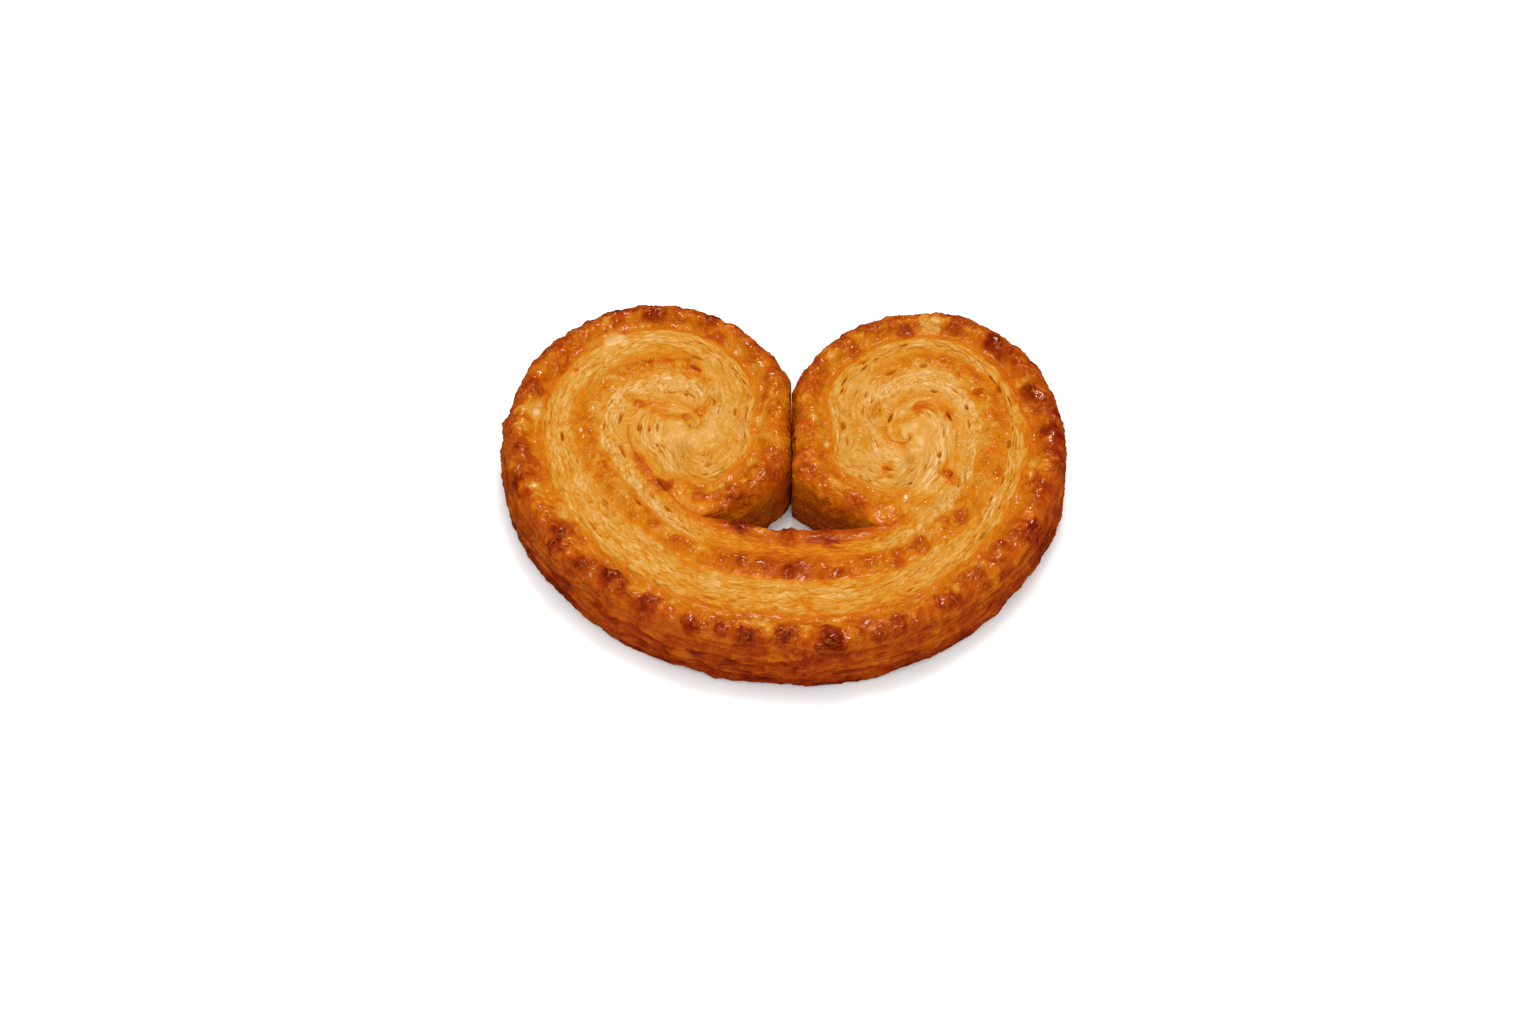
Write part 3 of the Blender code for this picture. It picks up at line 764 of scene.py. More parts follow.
# %% Small slits
SMALL_SLITS = 150
SLIT_HALF_LENGTHS = (0.5, 1.6)  # millimetres, as are the widths and depths
SLIT_HALF_WIDTHS = (0.10, 0.18)
SLIT_DEPTHS = (0.2, 0.5)
MOSTLY_STRANDS = 0.7
EYE_WHOLE = 1.5  # millimetres round the eye that no slit opens

dough_rows = rows_between(STATION["dough_rise"], STATION["inner_edge"])
for _ in range(SMALL_SLITS):
    i, j = random.integers(SECTIONS), random.choice(dough_rows)
    if strands[i, j] > MOSTLY_STRANDS and eye_gap[i, j] > EYE_WHOLE:
        half_length = random.uniform(*SLIT_HALF_LENGTHS)
        half_width = random.uniform(*SLIT_HALF_WIDTHS)
        add_slit(i, j, half_length, half_width, random.uniform(*SLIT_DEPTHS))
print("small slits tried on", len(dough_rows), "rows of the dough")

# %% [markdown]
# Between the blisters the skin has burst here and there, and a fleck of pale dough shows.

# %% Pale flecks on the crest
SKIN_FLECKS = 150
FLECK_RADII = (0.5, 1.1)  # millimetres, as is the depth
FLECK_DEPTH = 0.05
FLECK_BROWNING = (-0.26, -0.10)

crest_rows = rows_between(STATION["crest"] - 1.2, STATION["crest"] + 1.2)
for _ in range(SKIN_FLECKS):
    i, j = random.choice(free_sections), random.choice(crest_rows)
    add_blister(i, j, random.uniform(*FLECK_RADII), -FLECK_DEPTH, random.uniform(*FLECK_BROWNING))
print(SKIN_FLECKS, "pale flecks on", len(crest_rows), "rows of the crest")

# %% [markdown]
# ## Syrup in the coil
# Deep in the coil the turns grow together and no edge shows. What shows is where melted sugar
# collected: soft amber trails along and across the turns.

# %% Amber trails
# plan points in millimetres, half the width, browning added
SYRUP_TRAILS = (
    (((-27.3, 11.5), (-23.8, 9.7), (-20.4, 7.8), (-17.3, 7.1), (-14.9, 8.5), (-12.9, 11.3)), 1.4, 0.19),
    (((-20.5, -8.5), (-23.4, -6.0), (-25.6, -1.2)), 1.2, 0.22),
    (((-24.5, 19.8), (-20.6, 19.8), (-16.6, 18.4), (-14.3, 15.2)), 1.2, 0.12),
    (((19.6, 7.0), (22.0, 9.7), (24.1, 10.6), (27.3, 8.4)), 1.3, 0.22),
    (((17.5, 6.5), (18.5, 3.3), (19.7, -0.1), (20.3, -2.7)), 1.0, 0.15),
    (((14.9, 10.6), (14.6, 8.0)), 1.6, 0.20),
    (((26.2, -4.0), (27.2, -6.8)), 1.5, 0.20),
    (((17.2, -2.8), (15.8, -5.6)), 1.0, 0.18),
    (((4.0, -19.6), (9.0, -18.6), (14.0, -17.4), (19.5, -15.2)), 2.6, 0.20),
    (((-8.0, -17.4), (-13.5, -15.6), (-18.5, -12.4), (-22.5, -8.0)), 2.2, 0.14),
    (((41.5, -18.0), (45.5, -6.0), (45.2, 5.0), (41.0, 14.0), (35.5, 23.0)), 4.5, 0.08),
)


def add_trail(points, half_width, brown):
    """Browns a band along a line: one minus the squared distance from it over its half width."""
    gap = np.full(base.shape[:2], np.inf)
    for start, end in zip(points[:-1], points[1:]):
        step = np.subtract(end, start)
        offset = base[..., :2] - np.array(start)
        share = np.clip((offset @ step) / (step @ step), 0.0, 1.0)[..., None]
        gap = np.minimum(gap, np.linalg.norm(offset - share * step, axis=2))
    browning[:] += brown * np.clip(1 - (gap * roughened / half_width) ** 2, 0.0, 1.0)


for trail in SYRUP_TRAILS:
    add_trail(*trail)
print(len(SYRUP_TRAILS), "trails of syrup")

# %% [markdown]
# ## From relief to surface
# The relief moves each point along its own normal. The lobes press on each other, so nothing
# may cross the seam. Browning follows the relief as heat does: what stands up browns first,
# and the gaps between strands hold sugar and look amber.

# %% The finished upper surface
SEAM_GAP = 0.03  # half the gap that is left between the pressed lobes
HOLE_PAINTED_LIGHT = 0.04  # how much paler the walls round the hole are painted: painted light against the shade in the hole
SEAM_PAINTED_LIGHT = 0.09  # how much paler the crust is painted beside the seam: painted light against the shade between the lobes
SEAM_LIGHT_REACH = 6.0  # millimetres from the seam over which the painted light fades
SEAM_START = 0.0  # the lobes lie side by side behind this line
FRONT_SHADED = 32.0  # millimetres from the front's middle over which painted shade makes the dough a little darker
FRONT_BROWNED = 13.0  # millimetres from the front's middle over which the inner dough browns
FRONT_WALL_SHADE = 20.0  # millimetres from the front's middle over which the wall is painted darker, as painted shade facing away from the light

front = along[:, None]
inner_side = row_station > STATION["syrup_edge"]
side_wall = row_station < STATION["shoulder"]
# painted light beside the seam, where the lobes shade each other
seam_light_mask = bell(base[..., 0] - SEAM_X, SEAM_LIGHT_REACH) * (base[..., 1] > SEAM_START)
# painted light on the walls round the hole, which lie in shade
hole_light_mask = smooth_step(sheet["angle"], *HOLE_WALLS)[:, None] * side_wall

# puffs that stand up brown more; the crests of the wrinkles, coarse and fine, are painted paler as
# painted highlights
browning += lumps * weighted((0.088, broad_puffs), (0.055, small_puffs), (-0.11, wrinkles))
browning += lumps * weighted((0.12, 0.33 - fine_wrinkles), (0.22, noise(scaled(base, 4.6), 61)))
browning += lumps * weighted((0.12, noise(scaled(base, 2.4), 65)))
browning += weighted((0.05, noise(scaled(base, 8.0), 62)))
# painted shade: the wall is darker towards the front's middle, which faces away from the light
browning += folds * weighted((0.13, fold_lines), (-0.12, fold_edges), (0.06, bell(front, FRONT_WALL_SHADE)))
browning += folds * weighted((0.06, noise(scaled(base, 5.0), 63)))
browning += strands * weighted((0.13, gaps), (-0.05, broad_strands), (-0.06, fine_strands))
browning += strands * weighted((0.10, drawn_out(5.0, 2.0, 64)), (0.03, bell(front, FRONT_SHADED)))
browning += bell(front, FRONT_BROWNED) * inner_side * weighted((0.15, 1.0), (0.09, strands))
# painted light: paler colour beside the seam and on the walls round the hole, against the shade there
browning -= weighted((SEAM_PAINTED_LIGHT, seam_light_mask), (HOLE_PAINTED_LIGHT, hole_light_mask))
browning = np.clip(browning, 0.0, 1.0)
shine *= weighted((0.5, 1.0), (0.5, broad_puffs), (0.4, small_puffs))
shine = np.clip(shine, 0.0, 1.0)
print("browning is", round(float(browning.mean()), 2), "on average")

# Points move along their normals, but straight up where the sheet's face is pressed.
MIDDLE = (0.4, 0.6)  # shares of the sheet's thickness over which the outer half gives way
inner_half = smooth_step(row_place / thickness[:, None], *MIDDLE)
upright = (closed[:, None] * (1 - inner_half) + tucked[:, None] * inner_half)[..., None]
direction = surface_normals(base) * (1 - upright) + np.array([0.0, 0.0, 1.0]) * upright
surface = base + direction * height[..., None]
side = sheet["side"][:, None]
surface[..., 0] = side * np.maximum(side * surface[..., 0], side * SEAM_X + SEAM_GAP)
surface[..., 2] = np.maximum(surface[..., 2], 0.0)
normals = surface_normals(surface)

# %% [markdown]
# ## The underside
# The slice was turned in the oven or lay on a tray, so its underside is flatter than its top:
# the crust and the vein rest on the table, and the dough between them is drawn up a little.
# It has fewer rows, because it is seen less.

# %% Rows of the underside
# station above, rows to the next, height where free and where wound in millimetres, browning
UNDER_STATIONS = (
    ("foot", 4, 0.0, 0.0, 0.80),
    ("crust_edge", 6, 0.25, 0.20, 0.55),
    ("dough_middle", 6, 0.50, 0.40, 0.34),
    ("syrup_edge", 3, 0.25, 0.25, 0.45),
    ("vein", 3, 0.02, 0.15, 0.60),
    ("vein_edge", 3, 0.20, 0.25, 0.45),
    ("inner_middle", 3, 0.35, 0.35, 0.36),
    ("inner_edge", 5, 0.20, 0.25, 0.50),
    ("inner_foot", 0, 0.0, 0.10, 0.72),
)
under_counts = [row[1] for row in UNDER_STATIONS[:-1]]
under_places = places[:, [STATION[row[0]] for row in UNDER_STATIONS]]
under_heights = np.stack([row[2] * (1 - wound) + row[3] * wound for row in UNDER_STATIONS], axis=1)
under_browning = np.tile([row[4] for row in UNDER_STATIONS], (SECTIONS, 1))
UNDER_ROUGH = 0.22  # millimetres

under_knots = knots_from(np.diff(under_places, axis=1))
under_place = through_stations(under_knots, under_places, under_counts)
under_height = through_stations(under_knots, under_heights, under_counts)
under_points = np.concatenate([in_plan(under_place), under_height[..., None]], axis=2)
coarse, fine = noise(scaled(under_points, 2.4), 71), noise(scaled(under_points, 1.1), 72)
dents = weighted((1.0, np.abs(coarse)), (0.5, np.abs(fine)))
under_points[..., 2] = np.maximum(under_height + UNDER_ROUGH * dents, 0.0)
under_points[:, 0] = surface[:, 0]
under_points[:, -1] = surface[:, -1]
under_brown = through_stations(under_knots, under_browning, under_counts)
mottled = noise(scaled(under_points, 6.0), 73)
under_brown += weighted((0.08, 1.0), (-0.22, dents), (0.14, mottled))
under_brown = np.clip(under_brown, 0.0, 1.0)
UNDER = {row[0]: int(np.sum(under_counts[:k])) for k, row in enumerate(UNDER_STATIONS)}
TOP = {row[0]: int(np.sum(counts[:k])) for k, row in enumerate(STATIONS)}
print("underside:", SECTIONS, "x", under_points.shape[1], "points")

# %% [markdown]
# ## Layers as closed strips
# The surface is now cut lengthways into the layers of the sheet, so that each can have its
# own finish. A layer is a closed strip: its rows on top, its rows below, and straight sides
# where it lies against its neighbour. Neighbours share their edge rows exactly, so no crack
# shows between them. The shape is a ring carried along the sheet, closed by a fan at each end.

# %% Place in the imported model
cad_size = np.array(cad_high - cad_low) / MM
plan = surface[..., :2].reshape(-1, 2)
own_middle = 0.5 * (plan.min(axis=0) + plan.max(axis=0))
own_size = plan.max(axis=0) - plan.min(axis=0)
print("the surface measures", np.round(own_size, 1), "mm, the packed model", np.round(cad_size[:2], 1))


def placed(points):
    """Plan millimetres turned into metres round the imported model's own middle."""
    cad_middle = 0.5 * (np.array(cad_low) + np.array(cad_high))
    moved = points.copy()
    moved[..., :2] = (points[..., :2] - own_middle) * MM + cad_middle[:2]
    moved[..., 2] = points[..., 2] * MM + cad_low[2]
    return moved


# %% Rings and faces of a strip
def ring_of(first, last, upper, lower):
    """One array of the strip's rows: outwards to inwards on top, then back along below."""
    top = upper[:, TOP[first] : TOP[last] + 1]
    below_rows = lower[:, UNDER[first] : UNDER[last] + 1][:, ::-1]
    if first == "foot":
        below_rows = below_rows[:, :-1]
    if last == "inner_foot":
        below_rows = below_rows[:, 1:]
    return np.concatenate([top, below_rows], axis=1)


def strip_faces(rows):
    """Quads between neighbouring rings, then a fan of triangles over each end."""
    ring = np.arange(rows)
    ahead = (ring + 1) % rows
    start = (np.arange(SECTIONS - 1) * rows)[:, None]
    quads = np.stack([start + ring, start + rows + ring, start + rows + ahead, start + ahead], axis=2)
    first_middle, last_middle = SECTIONS * rows, SECTIONS * rows + 1
    end = (SECTIONS - 1) * rows
    fans = [(first_middle, int(a), int(b)) for a, b in zip(ring, ahead)]
    fans += [(last_middle, int(end + b), int(end + a)) for a, b in zip(ring, ahead)]
    return quads.reshape(-1, 4), fans


crust_rings = ring_of("foot", "crust_edge", surface, under_points)
print("a ring of the outer crust has", crust_rings.shape[1], "points")

# %% [markdown]
# ## Maps on each strip
# A strip is far longer than it is wide. Its map for baking is folded into lanes that lie side
# by side in the unit square, so that little of it is wasted. A second map holds plain distances
# along and across the sheet, in metres: the dough's grain follows it round the coil.

# %% Maps
LANES = 8
LANE_LENGTH = -(-(SECTIONS - 1) // LANES)  # sections in a lane, rounded up
LANE_MARGIN = 0.02  # free share of a lane above and below its strip
SIDE_MARGIN = 0.01  # free share of the square at both ends of a lane


def lane_map(rows, sections_at, ring_at):
    """Corner places in the folded map: lane number and depth upwards, length in lane sideways."""
    lane = sections_at.min(axis=1) // LANE_LENGTH
    u = (sections_at - (lane * LANE_LENGTH)[:, None]) / LANE_LENGTH
    v = (lane[:, None] + LANE_MARGIN + (1 - 2 * LANE_MARGIN) * ring_at / rows) / LANES
    return np.stack([SIDE_MARGIN + (1 - 2 * SIDE_MARGIN) * u, v], axis=2)


def grain_map(rows, ring_across, sections_at, ring_at):
    """Corner places in metres: the length along the sheet and the length across it."""
    length = along[sections_at] * MM
    width = ring_across[sections_at, np.minimum(ring_at, rows - 1)] * MM
    return np.stack([length, width], axis=2)


print("the map for baking has", LANES, "lanes of", LANE_LENGTH, "sections")

# %% [markdown]
# Each strip also carries what was worked out for its points: how brown they are, how much of
# them is strands or folds, and how much syrup shines on them. The materials read these by name.

# %% Mesh from whole arrays
def mesh_from(name, vertices, quads, fans):
    """A mesh whose arrays are handed over whole: the quads first, then the triangles."""
    mesh = bpy.data.meshes.new(name)
    corners = np.concatenate([quads.ravel(), np.array(fans).ravel()])
    starts = np.concatenate([np.arange(len(quads)) * 4, len(quads) * 4 + np.arange(len(fans)) * 3])
    mesh.vertices.add(len(vertices))
    mesh.vertices.foreach_set("co", vertices.astype(np.float32).ravel())
    mesh.loops.add(len(corners))
    mesh.loops.foreach_set("vertex_index", corners.astype(np.int32))
    mesh.polygons.add(len(starts))
    mesh.polygons.foreach_set("loop_start", starts.astype(np.int32))
    mesh.update(calc_edges=True)
    return mesh


# %% Maps, attributes and normals of a strip
UNDER_STRANDS = 0.3
UNDER_SHINE = 0.35
FAN_CORNERS = ((0.002, 0.002), (0.005, 0.002), (0.002, 0.005))  # a corner of the square for the ends


def add_maps(mesh, rows, ring_across, quads, fans):
    """Both maps; where a ring closes, its first row counts as one past its last."""
    section, ring_place = quads // rows, quads % rows
    closing = ring_place.max(axis=1) - ring_place.min(axis=1) > 1
    unrolled = np.where(closing[:, None] & (ring_place == 0), rows, ring_place)
    fan_places = np.tile(FAN_CORNERS, (len(fans), 1))
    for label, map_places in (
        ("OFBake", lane_map(rows, section, unrolled)),
        ("grain", grain_map(rows, ring_across, section, unrolled)),
    ):
        everything = np.concatenate([map_places.reshape(-1, 2), fan_places])
        layer = mesh.uv_layers.new(name=label)
        layer.data.foreach_set("uv", everything.astype(np.float32).ravel())


def add_attributes(mesh, first, last):
    """One value for each vertex and quality; the two fan middles take the nearest ring's value."""
    plain = np.ones_like(under_brown)
    for label, upper, lower in (
        ("browning", browning, under_brown),
        ("strands", strands, UNDER_STRANDS * plain),
        ("shine", shine, UNDER_SHINE * plain),
        ("folds", folds, 0.0 * plain),
    ):
        values = ring_of(first, last, upper, lower).ravel()
        values = np.concatenate([values, values[:1], values[-1:]])
        layer = mesh.attributes.new(label, "FLOAT", "POINT")
        layer.data.foreach_set("value", values.astype(np.float32))


def share_normals(mesh, rings, first, last):
    """The whole surface's normals on the top rows, so that no edge shows between two strips."""
    top_rows = TOP[last] - TOP[first] + 1
    shared = np.zeros_like(rings)
    shared[:, :top_rows] = normals[:, TOP[first] : TOP[last] + 1]
    if first == "foot":
        shared[:, 0] = 0.0
    if last == "inner_foot":
        shared[:, top_rows - 1] = 0.0
    shared = np.concatenate([shared.reshape(-1, 3), np.zeros((2, 3))])
    mesh.normals_split_custom_set_from_vertices(shared.astype(np.float32))


# %% The five layers
UNDER_SHIFT = 30.0  # millimetres that keep the grain below apart from the grain above


def build_strip(name, first, last):
    """A closed mesh from one station to another, with its maps, attributes and normals."""
    rings = ring_of(first, last, surface, under_points)
    rows = rings.shape[1]
    middles = rings[[0, -1]].mean(axis=1)
    vertices = placed(np.concatenate([rings.reshape(-1, 3), middles]))
    quads, fans = strip_faces(rows)
    mesh = mesh_from(name, vertices, quads, fans)
    add_maps(mesh, rows, ring_of(first, last, across, under_place + UNDER_SHIFT), quads, fans)
    add_attributes(mesh, first, last)
    mesh.shade_smooth()
    share_normals(mesh, rings, first, last)
    piece = bpy.data.objects.new(name, mesh)
    bpy.context.scene.collection.objects.link(piece)
    return piece


LAYERS = (
    ("outer_crust", "foot", "crust_edge", "crust"),
    ("outer_dough", "crust_edge", "syrup_edge", "dough"),
    ("sugar_vein", "syrup_edge", "vein_edge", "caramel"),
    ("inner_dough", "vein_edge", "inner_edge", "dough"),
    ("inner_crust", "inner_edge", "inner_foot", "crust"),
)
layers = {}
for name, first, last, _ in LAYERS:
    layers[name] = build_strip(name, first, last)
    triangles = len(layers[name].data.loops) - 2 * len(layers[name].data.polygons)
    print(name, triangles, "triangles")

# %% [markdown]
# ## Colour by browning
# Baking takes pastry through one path of colours: cream, gold, amber, orange brown, chestnut.
# So one group turns browning into colour for every layer, with a little grain added. The
# colours are given as they look in the lit room and divided by the room's light.

# %% Colours in the lit room
ROOM_LIGHT = 1.47  # how strongly the room lights a level white surface


def light(red, green, blue):
    """Screen values of 0 to 255 as the surface's own colour: the screen curve and the room undone."""
    screen = np.array([red, green, blue]) / 255.0
    linear = np.where(screen <= 0.04045, screen / 12.92, ((screen + 0.055) / 1.055) ** 2.4)
    return (*(linear / ROOM_LIGHT).tolist(), 1.0)


BAKING = (
    (0.00, light(245, 195, 126)),
    (0.12, light(230, 170, 88)),
    (0.25, light(222, 151, 47)),
    (0.38, light(219, 127, 6)),
    (0.50, light(212, 106, 2)),
    (0.62, light(196, 85, 1)),
    (0.75, light(174, 60, 1)),
    (0.88, light(146, 38, 1)),
    (1.00, light(116, 24, 1)),
)
GLINT_PAINT_COLOUR = light(238, 134, 34)  # painted highlight: a pale warm colour on the crests of the wrinkles
for browned, colour in (BAKING[0], BAKING[-1]):
    print("browned by", browned, "it reflects", [round(part, 2) for part in colour[:3]])


# %% Helpers for nodes
def plug(tree, operand, socket):
    """Gives an input a number or a colour, or links another node's output to it."""
    if isinstance(operand, bpy.types.NodeSocket):
        tree.links.new(operand, socket)
    else:
        socket.default_value = operand


def fill(tree, node, inputs):
    """Plugs each operand into the input of its name, in which _ stands for a space."""
    for label, operand in inputs.items():
        plug(tree, operand, node.inputs[label.replace("_", " ")])
    return node


def new_node(tree, kind, **inputs):
    """A shader node of a kind with its named inputs filled."""
    return fill(tree, tree.nodes.new("ShaderNode" + kind), inputs)


def math_node(tree, operation, first, second):
    """The output of a Math node; each operand is a number or a socket."""
    node = new_node(tree, "Math")
    node.operation = operation
    plug(tree, first, node.inputs[0])
    plug(tree, second, node.inputs[1])
    return node.outputs[0]


def plus(tree, first, second):
    """The sum of two numbers or sockets."""
    return math_node(tree, "ADD", first, second)


def minus(tree, first, second):
    """The difference of two numbers or sockets."""
    return math_node(tree, "SUBTRACT", first, second)


def times(tree, first, *others):
    """The product of numbers and sockets."""
    for other in others:
        first = math_node(tree, "MULTIPLY", first, other)
    return first


def colour_ramp(tree, place, colours):
    """The colour at a place along a path of colours, each given with its own place."""
    ramp = new_node(tree, "ValToRGB", Fac=place)
    while len(ramp.color_ramp.elements) < len(colours):
        ramp.color_ramp.elements.new(0.5)
    for element, (position, colour) in zip(ramp.color_ramp.elements, colours):
        element.position = position
        element.color = colour
    return ramp.outputs["Color"]


# %% Helpers for groups and materials
FLOAT = "NodeSocketFloat"


def new_group(name, inputs, outputs):
    """An empty shader node group with float inputs (name: value) and outputs (name: type)."""
    tree = bpy.data.node_groups.new(name, "ShaderNodeTree")
    for label, value in inputs.items():
        socket = tree.interface.new_socket(label, in_out="INPUT", socket_type=FLOAT)
        socket.default_value = value
    for label, kind in outputs.items():
        tree.interface.new_socket(label, in_out="OUTPUT", socket_type=kind)
    return tree, tree.nodes.new("NodeGroupInput").outputs, tree.nodes.new("NodeGroupOutput")


def new_material(name):
    """A node material with its tree and its shader."""
    material = bpy.data.materials.new(name)
    material.use_nodes = True
    return material, material.node_tree, material.node_tree.nodes["Principled BSDF"]


# %% Colour of baked pastry
def baked_colour_group():
    """Colour from browning, pushed up and down by a grain, with painted highlights on ridges."""
    inputs = {"Browning": 0.4, "Grain": 0.5, "Grain Strength": 0.1, "Dried Sugar": 0.0}
    tree, given, result = new_group("baked_colour", inputs, {"Color": "NodeSocketColor"})
    push = times(tree, minus(tree, given["Grain"], 0.5), given["Grain Strength"])
    baked = colour_ramp(tree, plus(tree, given["Browning"], push), BAKING)
    # painted highlights: the ramp's colour mixed towards a pale warm one on the ridges
    sugared = new_node(tree, "MixRGB", Fac=given["Dried Sugar"], Color1=baked, Color2=GLINT_PAINT_COLOUR)
    fill(tree, result, {"Color": sugared.outputs["Color"]})
    return tree


BAKED_COLOUR = baked_colour_group()
print("the path of colours has", len(BAKING), "stops")

# %% [markdown]
# ## Skin and strands up close
# Relief finer than a quarter of a millimetre is left to the materials. The crust's skin is
# crinkled like cooling toffee: ridged noise in the object's own coordinates, with painted
# highlights on the ridges, a pale warm colour mixed in. It is smooth where it is pale, crinkled
# where it is brown, and taut again on dark blisters. The dough's strands and the layers of the
# wall are noise drawn out along the sheet, three times and six times, read from the second map.

# %% Noise and ridges as nodes
NOISE_ROUGHNESS = 0.55


def noise_node(tree, vector, scale, detail=0.0, distortion=0.0):
    """A Noise Texture of the given scale per metre; distortion makes its lumps wavy."""
    node = new_node(tree, "TexNoise", Vector=vector, Scale=scale, Detail=detail)
    return fill(tree, node, {"Roughness": NOISE_ROUGHNESS, "Distortion": distortion}).outputs["Fac"]


def ridges(tree, value, sharpness):
    """Thin lines where a noise passes one half: 1 on the line, falling off by the sharpness."""
    centred = math_node(tree, "ABSOLUTE", minus(tree, value, 0.5), 0.0)
    return math_node(tree, "MAXIMUM", minus(tree, 1.0, times(tree, centred, sharpness)), 0.0)


def along_sheet(tree, share):
    """Places on the second map, with the length along the sheet cut down to a share."""
    place = new_node(tree, "UVMap")
    place.uv_map = "grain"
    return new_node(tree, "Mapping", Vector=place.outputs["UV"], Scale=(share, 1.0, 1.0)).outputs[0]


# %% Groups for skin, strands and layers
TAUT_BROWNING = 1.45  # the skin would be quite flat at this browning, which none reaches
SKIN_LUMPS = 0.4
STRAND_DRAW = 0.33  # the share for which length counts: strands are three times as long as wide
LAYER_DRAW = 0.16
GRAIN = {"Height": FLOAT, "Grain": FLOAT}


def crinkle_group():
    """Crinkled skin: thin ridges over soft lumps, strongest at a middling browning."""
    inputs = {"Browning": 0.5, "Skin": 1.0, "Strength": 1.0}
    tree, given, result = new_group("crinkled_skin", inputs, {**GRAIN, "Ridge": FLOAT})
    place = new_node(tree, "TexCoord").outputs["Object"]
    line = ridges(tree, noise_node(tree, place, 520.0, distortion=1.6), 7.5)
    patch = times(tree, minus(tree, noise_node(tree, place, 330.0), 0.36), 6.0)
    patch = math_node(tree, "MINIMUM", math_node(tree, "MAXIMUM", patch, 0.0), 1.0)
    ridge = times(tree, line, patch)
    lump = noise_node(tree, place, 500.0, distortion=0.8)
    taut = minus(tree, TAUT_BROWNING, given["Browning"])
    share = times(tree, given["Browning"], taut, given["Skin"], given["Strength"])
    height = times(tree, plus(tree, ridge, times(tree, lump, SKIN_LUMPS)), share)
    fill(tree, result, {"Height": height, "Grain": lump, "Ridge": ridge})
    return tree


def strand_group():
    """Fine strands: noise drawn out along the sheet, with thin dark gaps, as height and grain."""
    tree, _, result = new_group("pastry_strands", {}, GRAIN)
    place = along_sheet(tree, STRAND_DRAW)
    gap = ridges(tree, noise_node(tree, place, 1100.0, distortion=0.8), 9.0)
    fibre = noise_node(tree, place, 2300.0, detail=1.0, distortion=0.5)
    height = minus(tree, fibre, times(tree, gap, 0.5))
    fill(tree, result, {"Height": height, "Grain": plus(tree, fibre, times(tree, gap, 0.3))})
    return tree


def layer_group():
    """The edges of the layers: thin dark lines drawn out along the wall, pale flakes between."""
    tree, _, result = new_group("layered_wall", {}, GRAIN)
    place = along_sheet(tree, LAYER_DRAW)
    gap = ridges(tree, noise_node(tree, place, 620.0, detail=1.0, distortion=0.9), 8.0)
    flake = noise_node(tree, place, 900.0, detail=1.0, distortion=0.6)
    pale = times(tree, minus(tree, flake, 0.5), 1.6)
    fill(tree, result, {"Height": minus(tree, pale, gap), "Grain": minus(tree, gap, pale)})
    return tree


CRINKLES, STRANDS, LAYERED_WALL = crinkle_group(), strand_group(), layer_group()
print("node groups:", [group.name for group in bpy.data.node_groups])

# %% [markdown]
# ## The three finishes
# Crust, dough and sugar are one food at different stages, so one function makes all three
# from the same groups. They differ in how much syrup coats them, how crinkled they are and
# how rough. The coat is the film of sugar: a clear gloss above the rougher pastry.

# %% One material for every stage
LAYER_GRAIN = 0.11  # browning of the lines between the wall's layers
LAYER_RELIEF = 1.4
GLINT_PAINT_SHARE = 0.45  # the share of the painted highlight's colour on a ridge
SYRUP_SMOOTHS = 0.15  # how much less rough the pastry is under a full shine
GRAIN_DEPTH = 0.12 * MM
AMBER_GLOSS = (1.0, 0.60, 0.28, 1.0)  # light is tinted on its way through the skin


def pastry_material(name, crinkle, coat, coat_roughness, roughness, gloss, grain_strength):
    """Browned pastry: colour and grain from the groups, gloss from the shine attribute."""
    material, tree, shader = new_material(name)

    def attribute(label):
        """One quality of the strip, read by its name."""
        node = new_node(tree, "Attribute")
        node.attribute_name = label
        return node.outputs["Fac"]

    def group(kind, **inputs):
        """A group placed in this material with its own values."""
        node = new_node(tree, "Group")
        node.node_tree = kind
        return fill(tree, node, inputs).outputs

    brown, strand_share, fold_share, wet = map(attribute, ("browning", "strands", "folds", "shine"))
    skin_share = minus(tree, 1.0, strand_share)
    skin = group(CRINKLES, Browning=brown, Skin=skin_share, Strength=crinkle)
    fibre, layered = group(STRANDS), group(LAYERED_WALL)

    fine = plus(tree, times(tree, fibre["Grain"], strand_share), times(tree, skin["Grain"], skin_share))
    between = times(tree, layered["Grain"], fold_share, LAYER_GRAIN)
    colour = group(
        BAKED_COLOUR,
        Browning=plus(tree, brown, between),
        Grain=fine,
        Grain_Strength=grain_strength,
        # painted highlight: a pale warm colour on the shiny ridges of the skin
        Dried_Sugar=times(tree, skin["Ridge"], skin_share, wet, GLINT_PAINT_SHARE),
    )
    relief = plus(tree, times(tree, fibre["Height"], strand_share), skin["Height"])
    relief = plus(tree, relief, times(tree, layered["Height"], fold_share, LAYER_RELIEF))
    bump = new_node(tree, "Bump", Height=relief, Distance=GRAIN_DEPTH)
    fill(tree, shader, {
        "Base Color": colour["Color"],
        "Normal": bump.outputs["Normal"],
        "Roughness": plus(tree, times(tree, wet, -SYRUP_SMOOTHS), roughness),
        "IOR": 1.45,
        "Specular IOR Level": gloss,
        "Specular Tint": AMBER_GLOSS,
        "Coat Weight": times(tree, wet, coat),
        "Coat Roughness": coat_roughness,
        "Coat IOR": 1.5,
    })
    return material


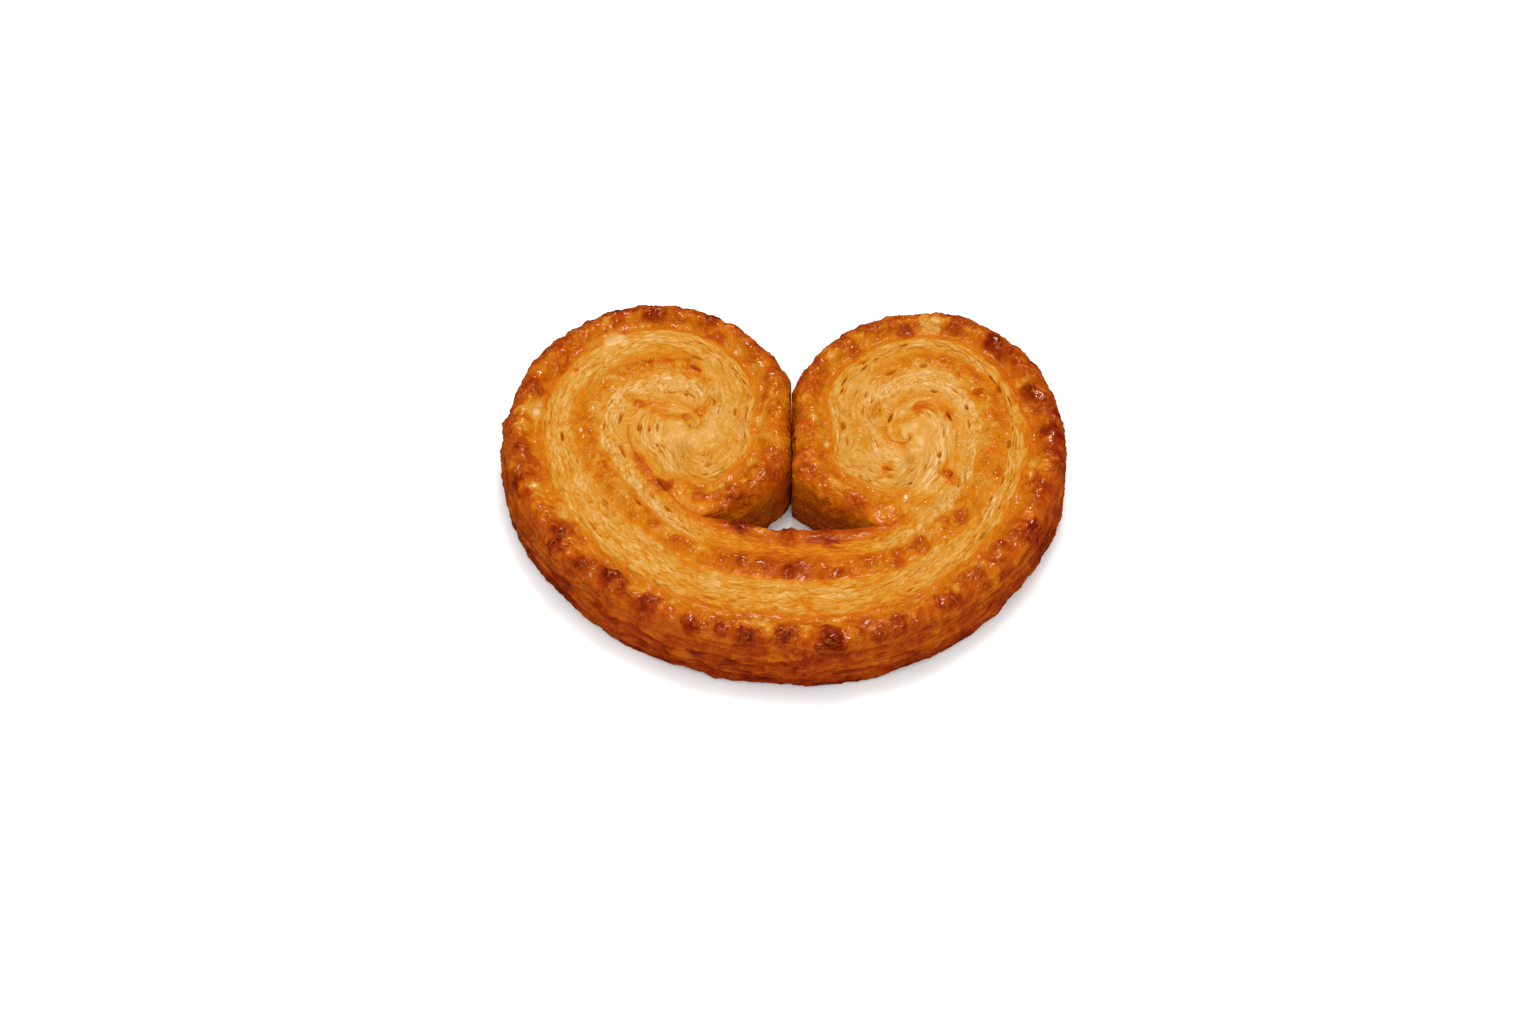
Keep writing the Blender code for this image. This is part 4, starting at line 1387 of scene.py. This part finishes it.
# %% Crust, dough and sugar
SUGARED = {"crinkle": 2.5, "coat": 1.0, "coat_roughness": 0.09, "roughness": 0.32, "grain_strength": 0.09}
DRY = {"crinkle": 2.0, "coat": 0.2, "coat_roughness": 0.20, "roughness": 0.46, "grain_strength": 0.40}
FINISHES = {
    "crust": pastry_material("baked_crust", gloss=0.30, **SUGARED),
    "dough": pastry_material("pale_dough", gloss=0.14, **DRY),
    "caramel": pastry_material("set_sugar", gloss=0.25, **SUGARED),
}
for name, _, _, slot in LAYERS:
    piece = layers[name]
    piece.data.materials.append(FINISHES[slot])
    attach(piece, "root")
    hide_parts("palmier")
    print(name, "is finished in", FINISHES[slot].name)

# %% [markdown]
# ## Table, light and camera
# The pastry lies on plain white paper. Light comes from a wide soft panel above and a little
# behind, so the shadow falls in front, and from a white room all round. A smaller panel beside
# it makes the glints on the sugar, and a weak one in front reaches the walls of the hole. The
# sugar mirrors only the panels: if it also mirrored the white room and the paper, a grey haze
# would lie over the browned crust. The camera looks down on the front band at fifty degrees,
# from far enough away for the shape to keep its proportions.

# %% Floor
def paper():
    """Matt white paper with the faintest mottling."""
    material, tree, shader = new_material("white_paper")
    mottle = noise_node(tree, new_node(tree, "TexCoord").outputs["Object"], 40.0, detail=3.0)
    whites = [(place, (shade, shade, shade, 1.0)) for place, shade in enumerate((0.90, 0.93))]
    colour = colour_ramp(tree, mottle, whites)
    fill(tree, shader, {"Base Color": colour, "Roughness": 0.9, "Specular IOR Level": 0.1})
    return material


FLOOR_HALF = 3.0
FLOOR_GAP = 0.02 * MM  # keeps the paper and the underside apart
floor_mesh = bpy.data.meshes.new("floor")
floor_corners = [(x * FLOOR_HALF, y * FLOOR_HALF, 0.0) for x, y in ((-1, -1), (1, -1), (1, 1), (-1, 1))]
floor_mesh.from_pydata(floor_corners, [], [(0, 1, 2, 3)])
floor_mesh.materials.append(paper())
floor = bpy.data.objects.new("floor", floor_mesh)
floor.location.z = cad_low[2] - FLOOR_GAP
floor.visible_glossy = False
bpy.context.scene.collection.objects.link(floor)
print("the paper is", 2 * FLOOR_HALF, "m wide")

# %% Light
def soft_panel(name, place, target, size, power):
    """A square area light at a place, facing a target; all in metres and watts."""
    data = bpy.data.lights.new(name, "AREA")
    data.shape = "SQUARE"
    data.size = size
    data.energy = power
    panel = bpy.data.objects.new(name, data)
    panel.location = place
    facing = target - panel.location
    panel.rotation_euler = facing.to_track_quat("-Z", "Y").to_euler()
    bpy.context.scene.collection.objects.link(panel)


ROOM_STRENGTH = 1.10
# name, place, side, watts
PANELS = (
    ("overhead_panel", (-0.05, 0.20, 0.80), 0.28, 0.85),
    ("glint_panel", (0.06, 0.26, 0.76), 0.19, 2.0),
    ("front_panel", (0.04, -0.46, 0.58), 0.14, 0.9),
)
cad_centre = (cad_low + cad_high) / 2
for name, place, size, power in PANELS:
    soft_panel(name, place, cad_centre, size, power)
    print(name, "gives", power, "watts")

world = bpy.data.worlds.new("white_room")
world.use_nodes = True
background = world.node_tree.nodes["Background"]
fill(world.node_tree, background, {"Color": (1.0, 1.0, 1.0, 1.0), "Strength": ROOM_STRENGTH})
bpy.context.scene.world = world
world.cycles_visibility.glossy = False
bpy.context.scene.view_settings.view_transform = "Standard"
bpy.context.scene.view_settings.look = "None"

# %% Camera
ELEVATION = np.radians(50.0)
DISTANCE = 0.610
LENS = 85.0  # millimetres, as is the sensor
SENSOR = 36.0
AIM_OFFSET = np.array([-2.6, -5.6, -0.2]) * MM

aim = np.array(cad_centre) + AIM_OFFSET
back = np.array([0.0, -np.cos(ELEVATION), np.sin(ELEVATION)])
camera_data = bpy.data.cameras.new("camera")
camera_data.lens = LENS
camera_data.sensor_width = SENSOR
camera_data.clip_start = 0.01
camera = bpy.data.objects.new("camera", camera_data)
camera.location = aim + DISTANCE * back
camera.rotation_euler = (np.pi / 2 - ELEVATION, 0.0, 0.0)
bpy.context.scene.collection.objects.link(camera)
bpy.context.scene.camera = camera
print("the camera stands", DISTANCE, "m away and", round(float(DISTANCE * back[2]), 2), "m higher")
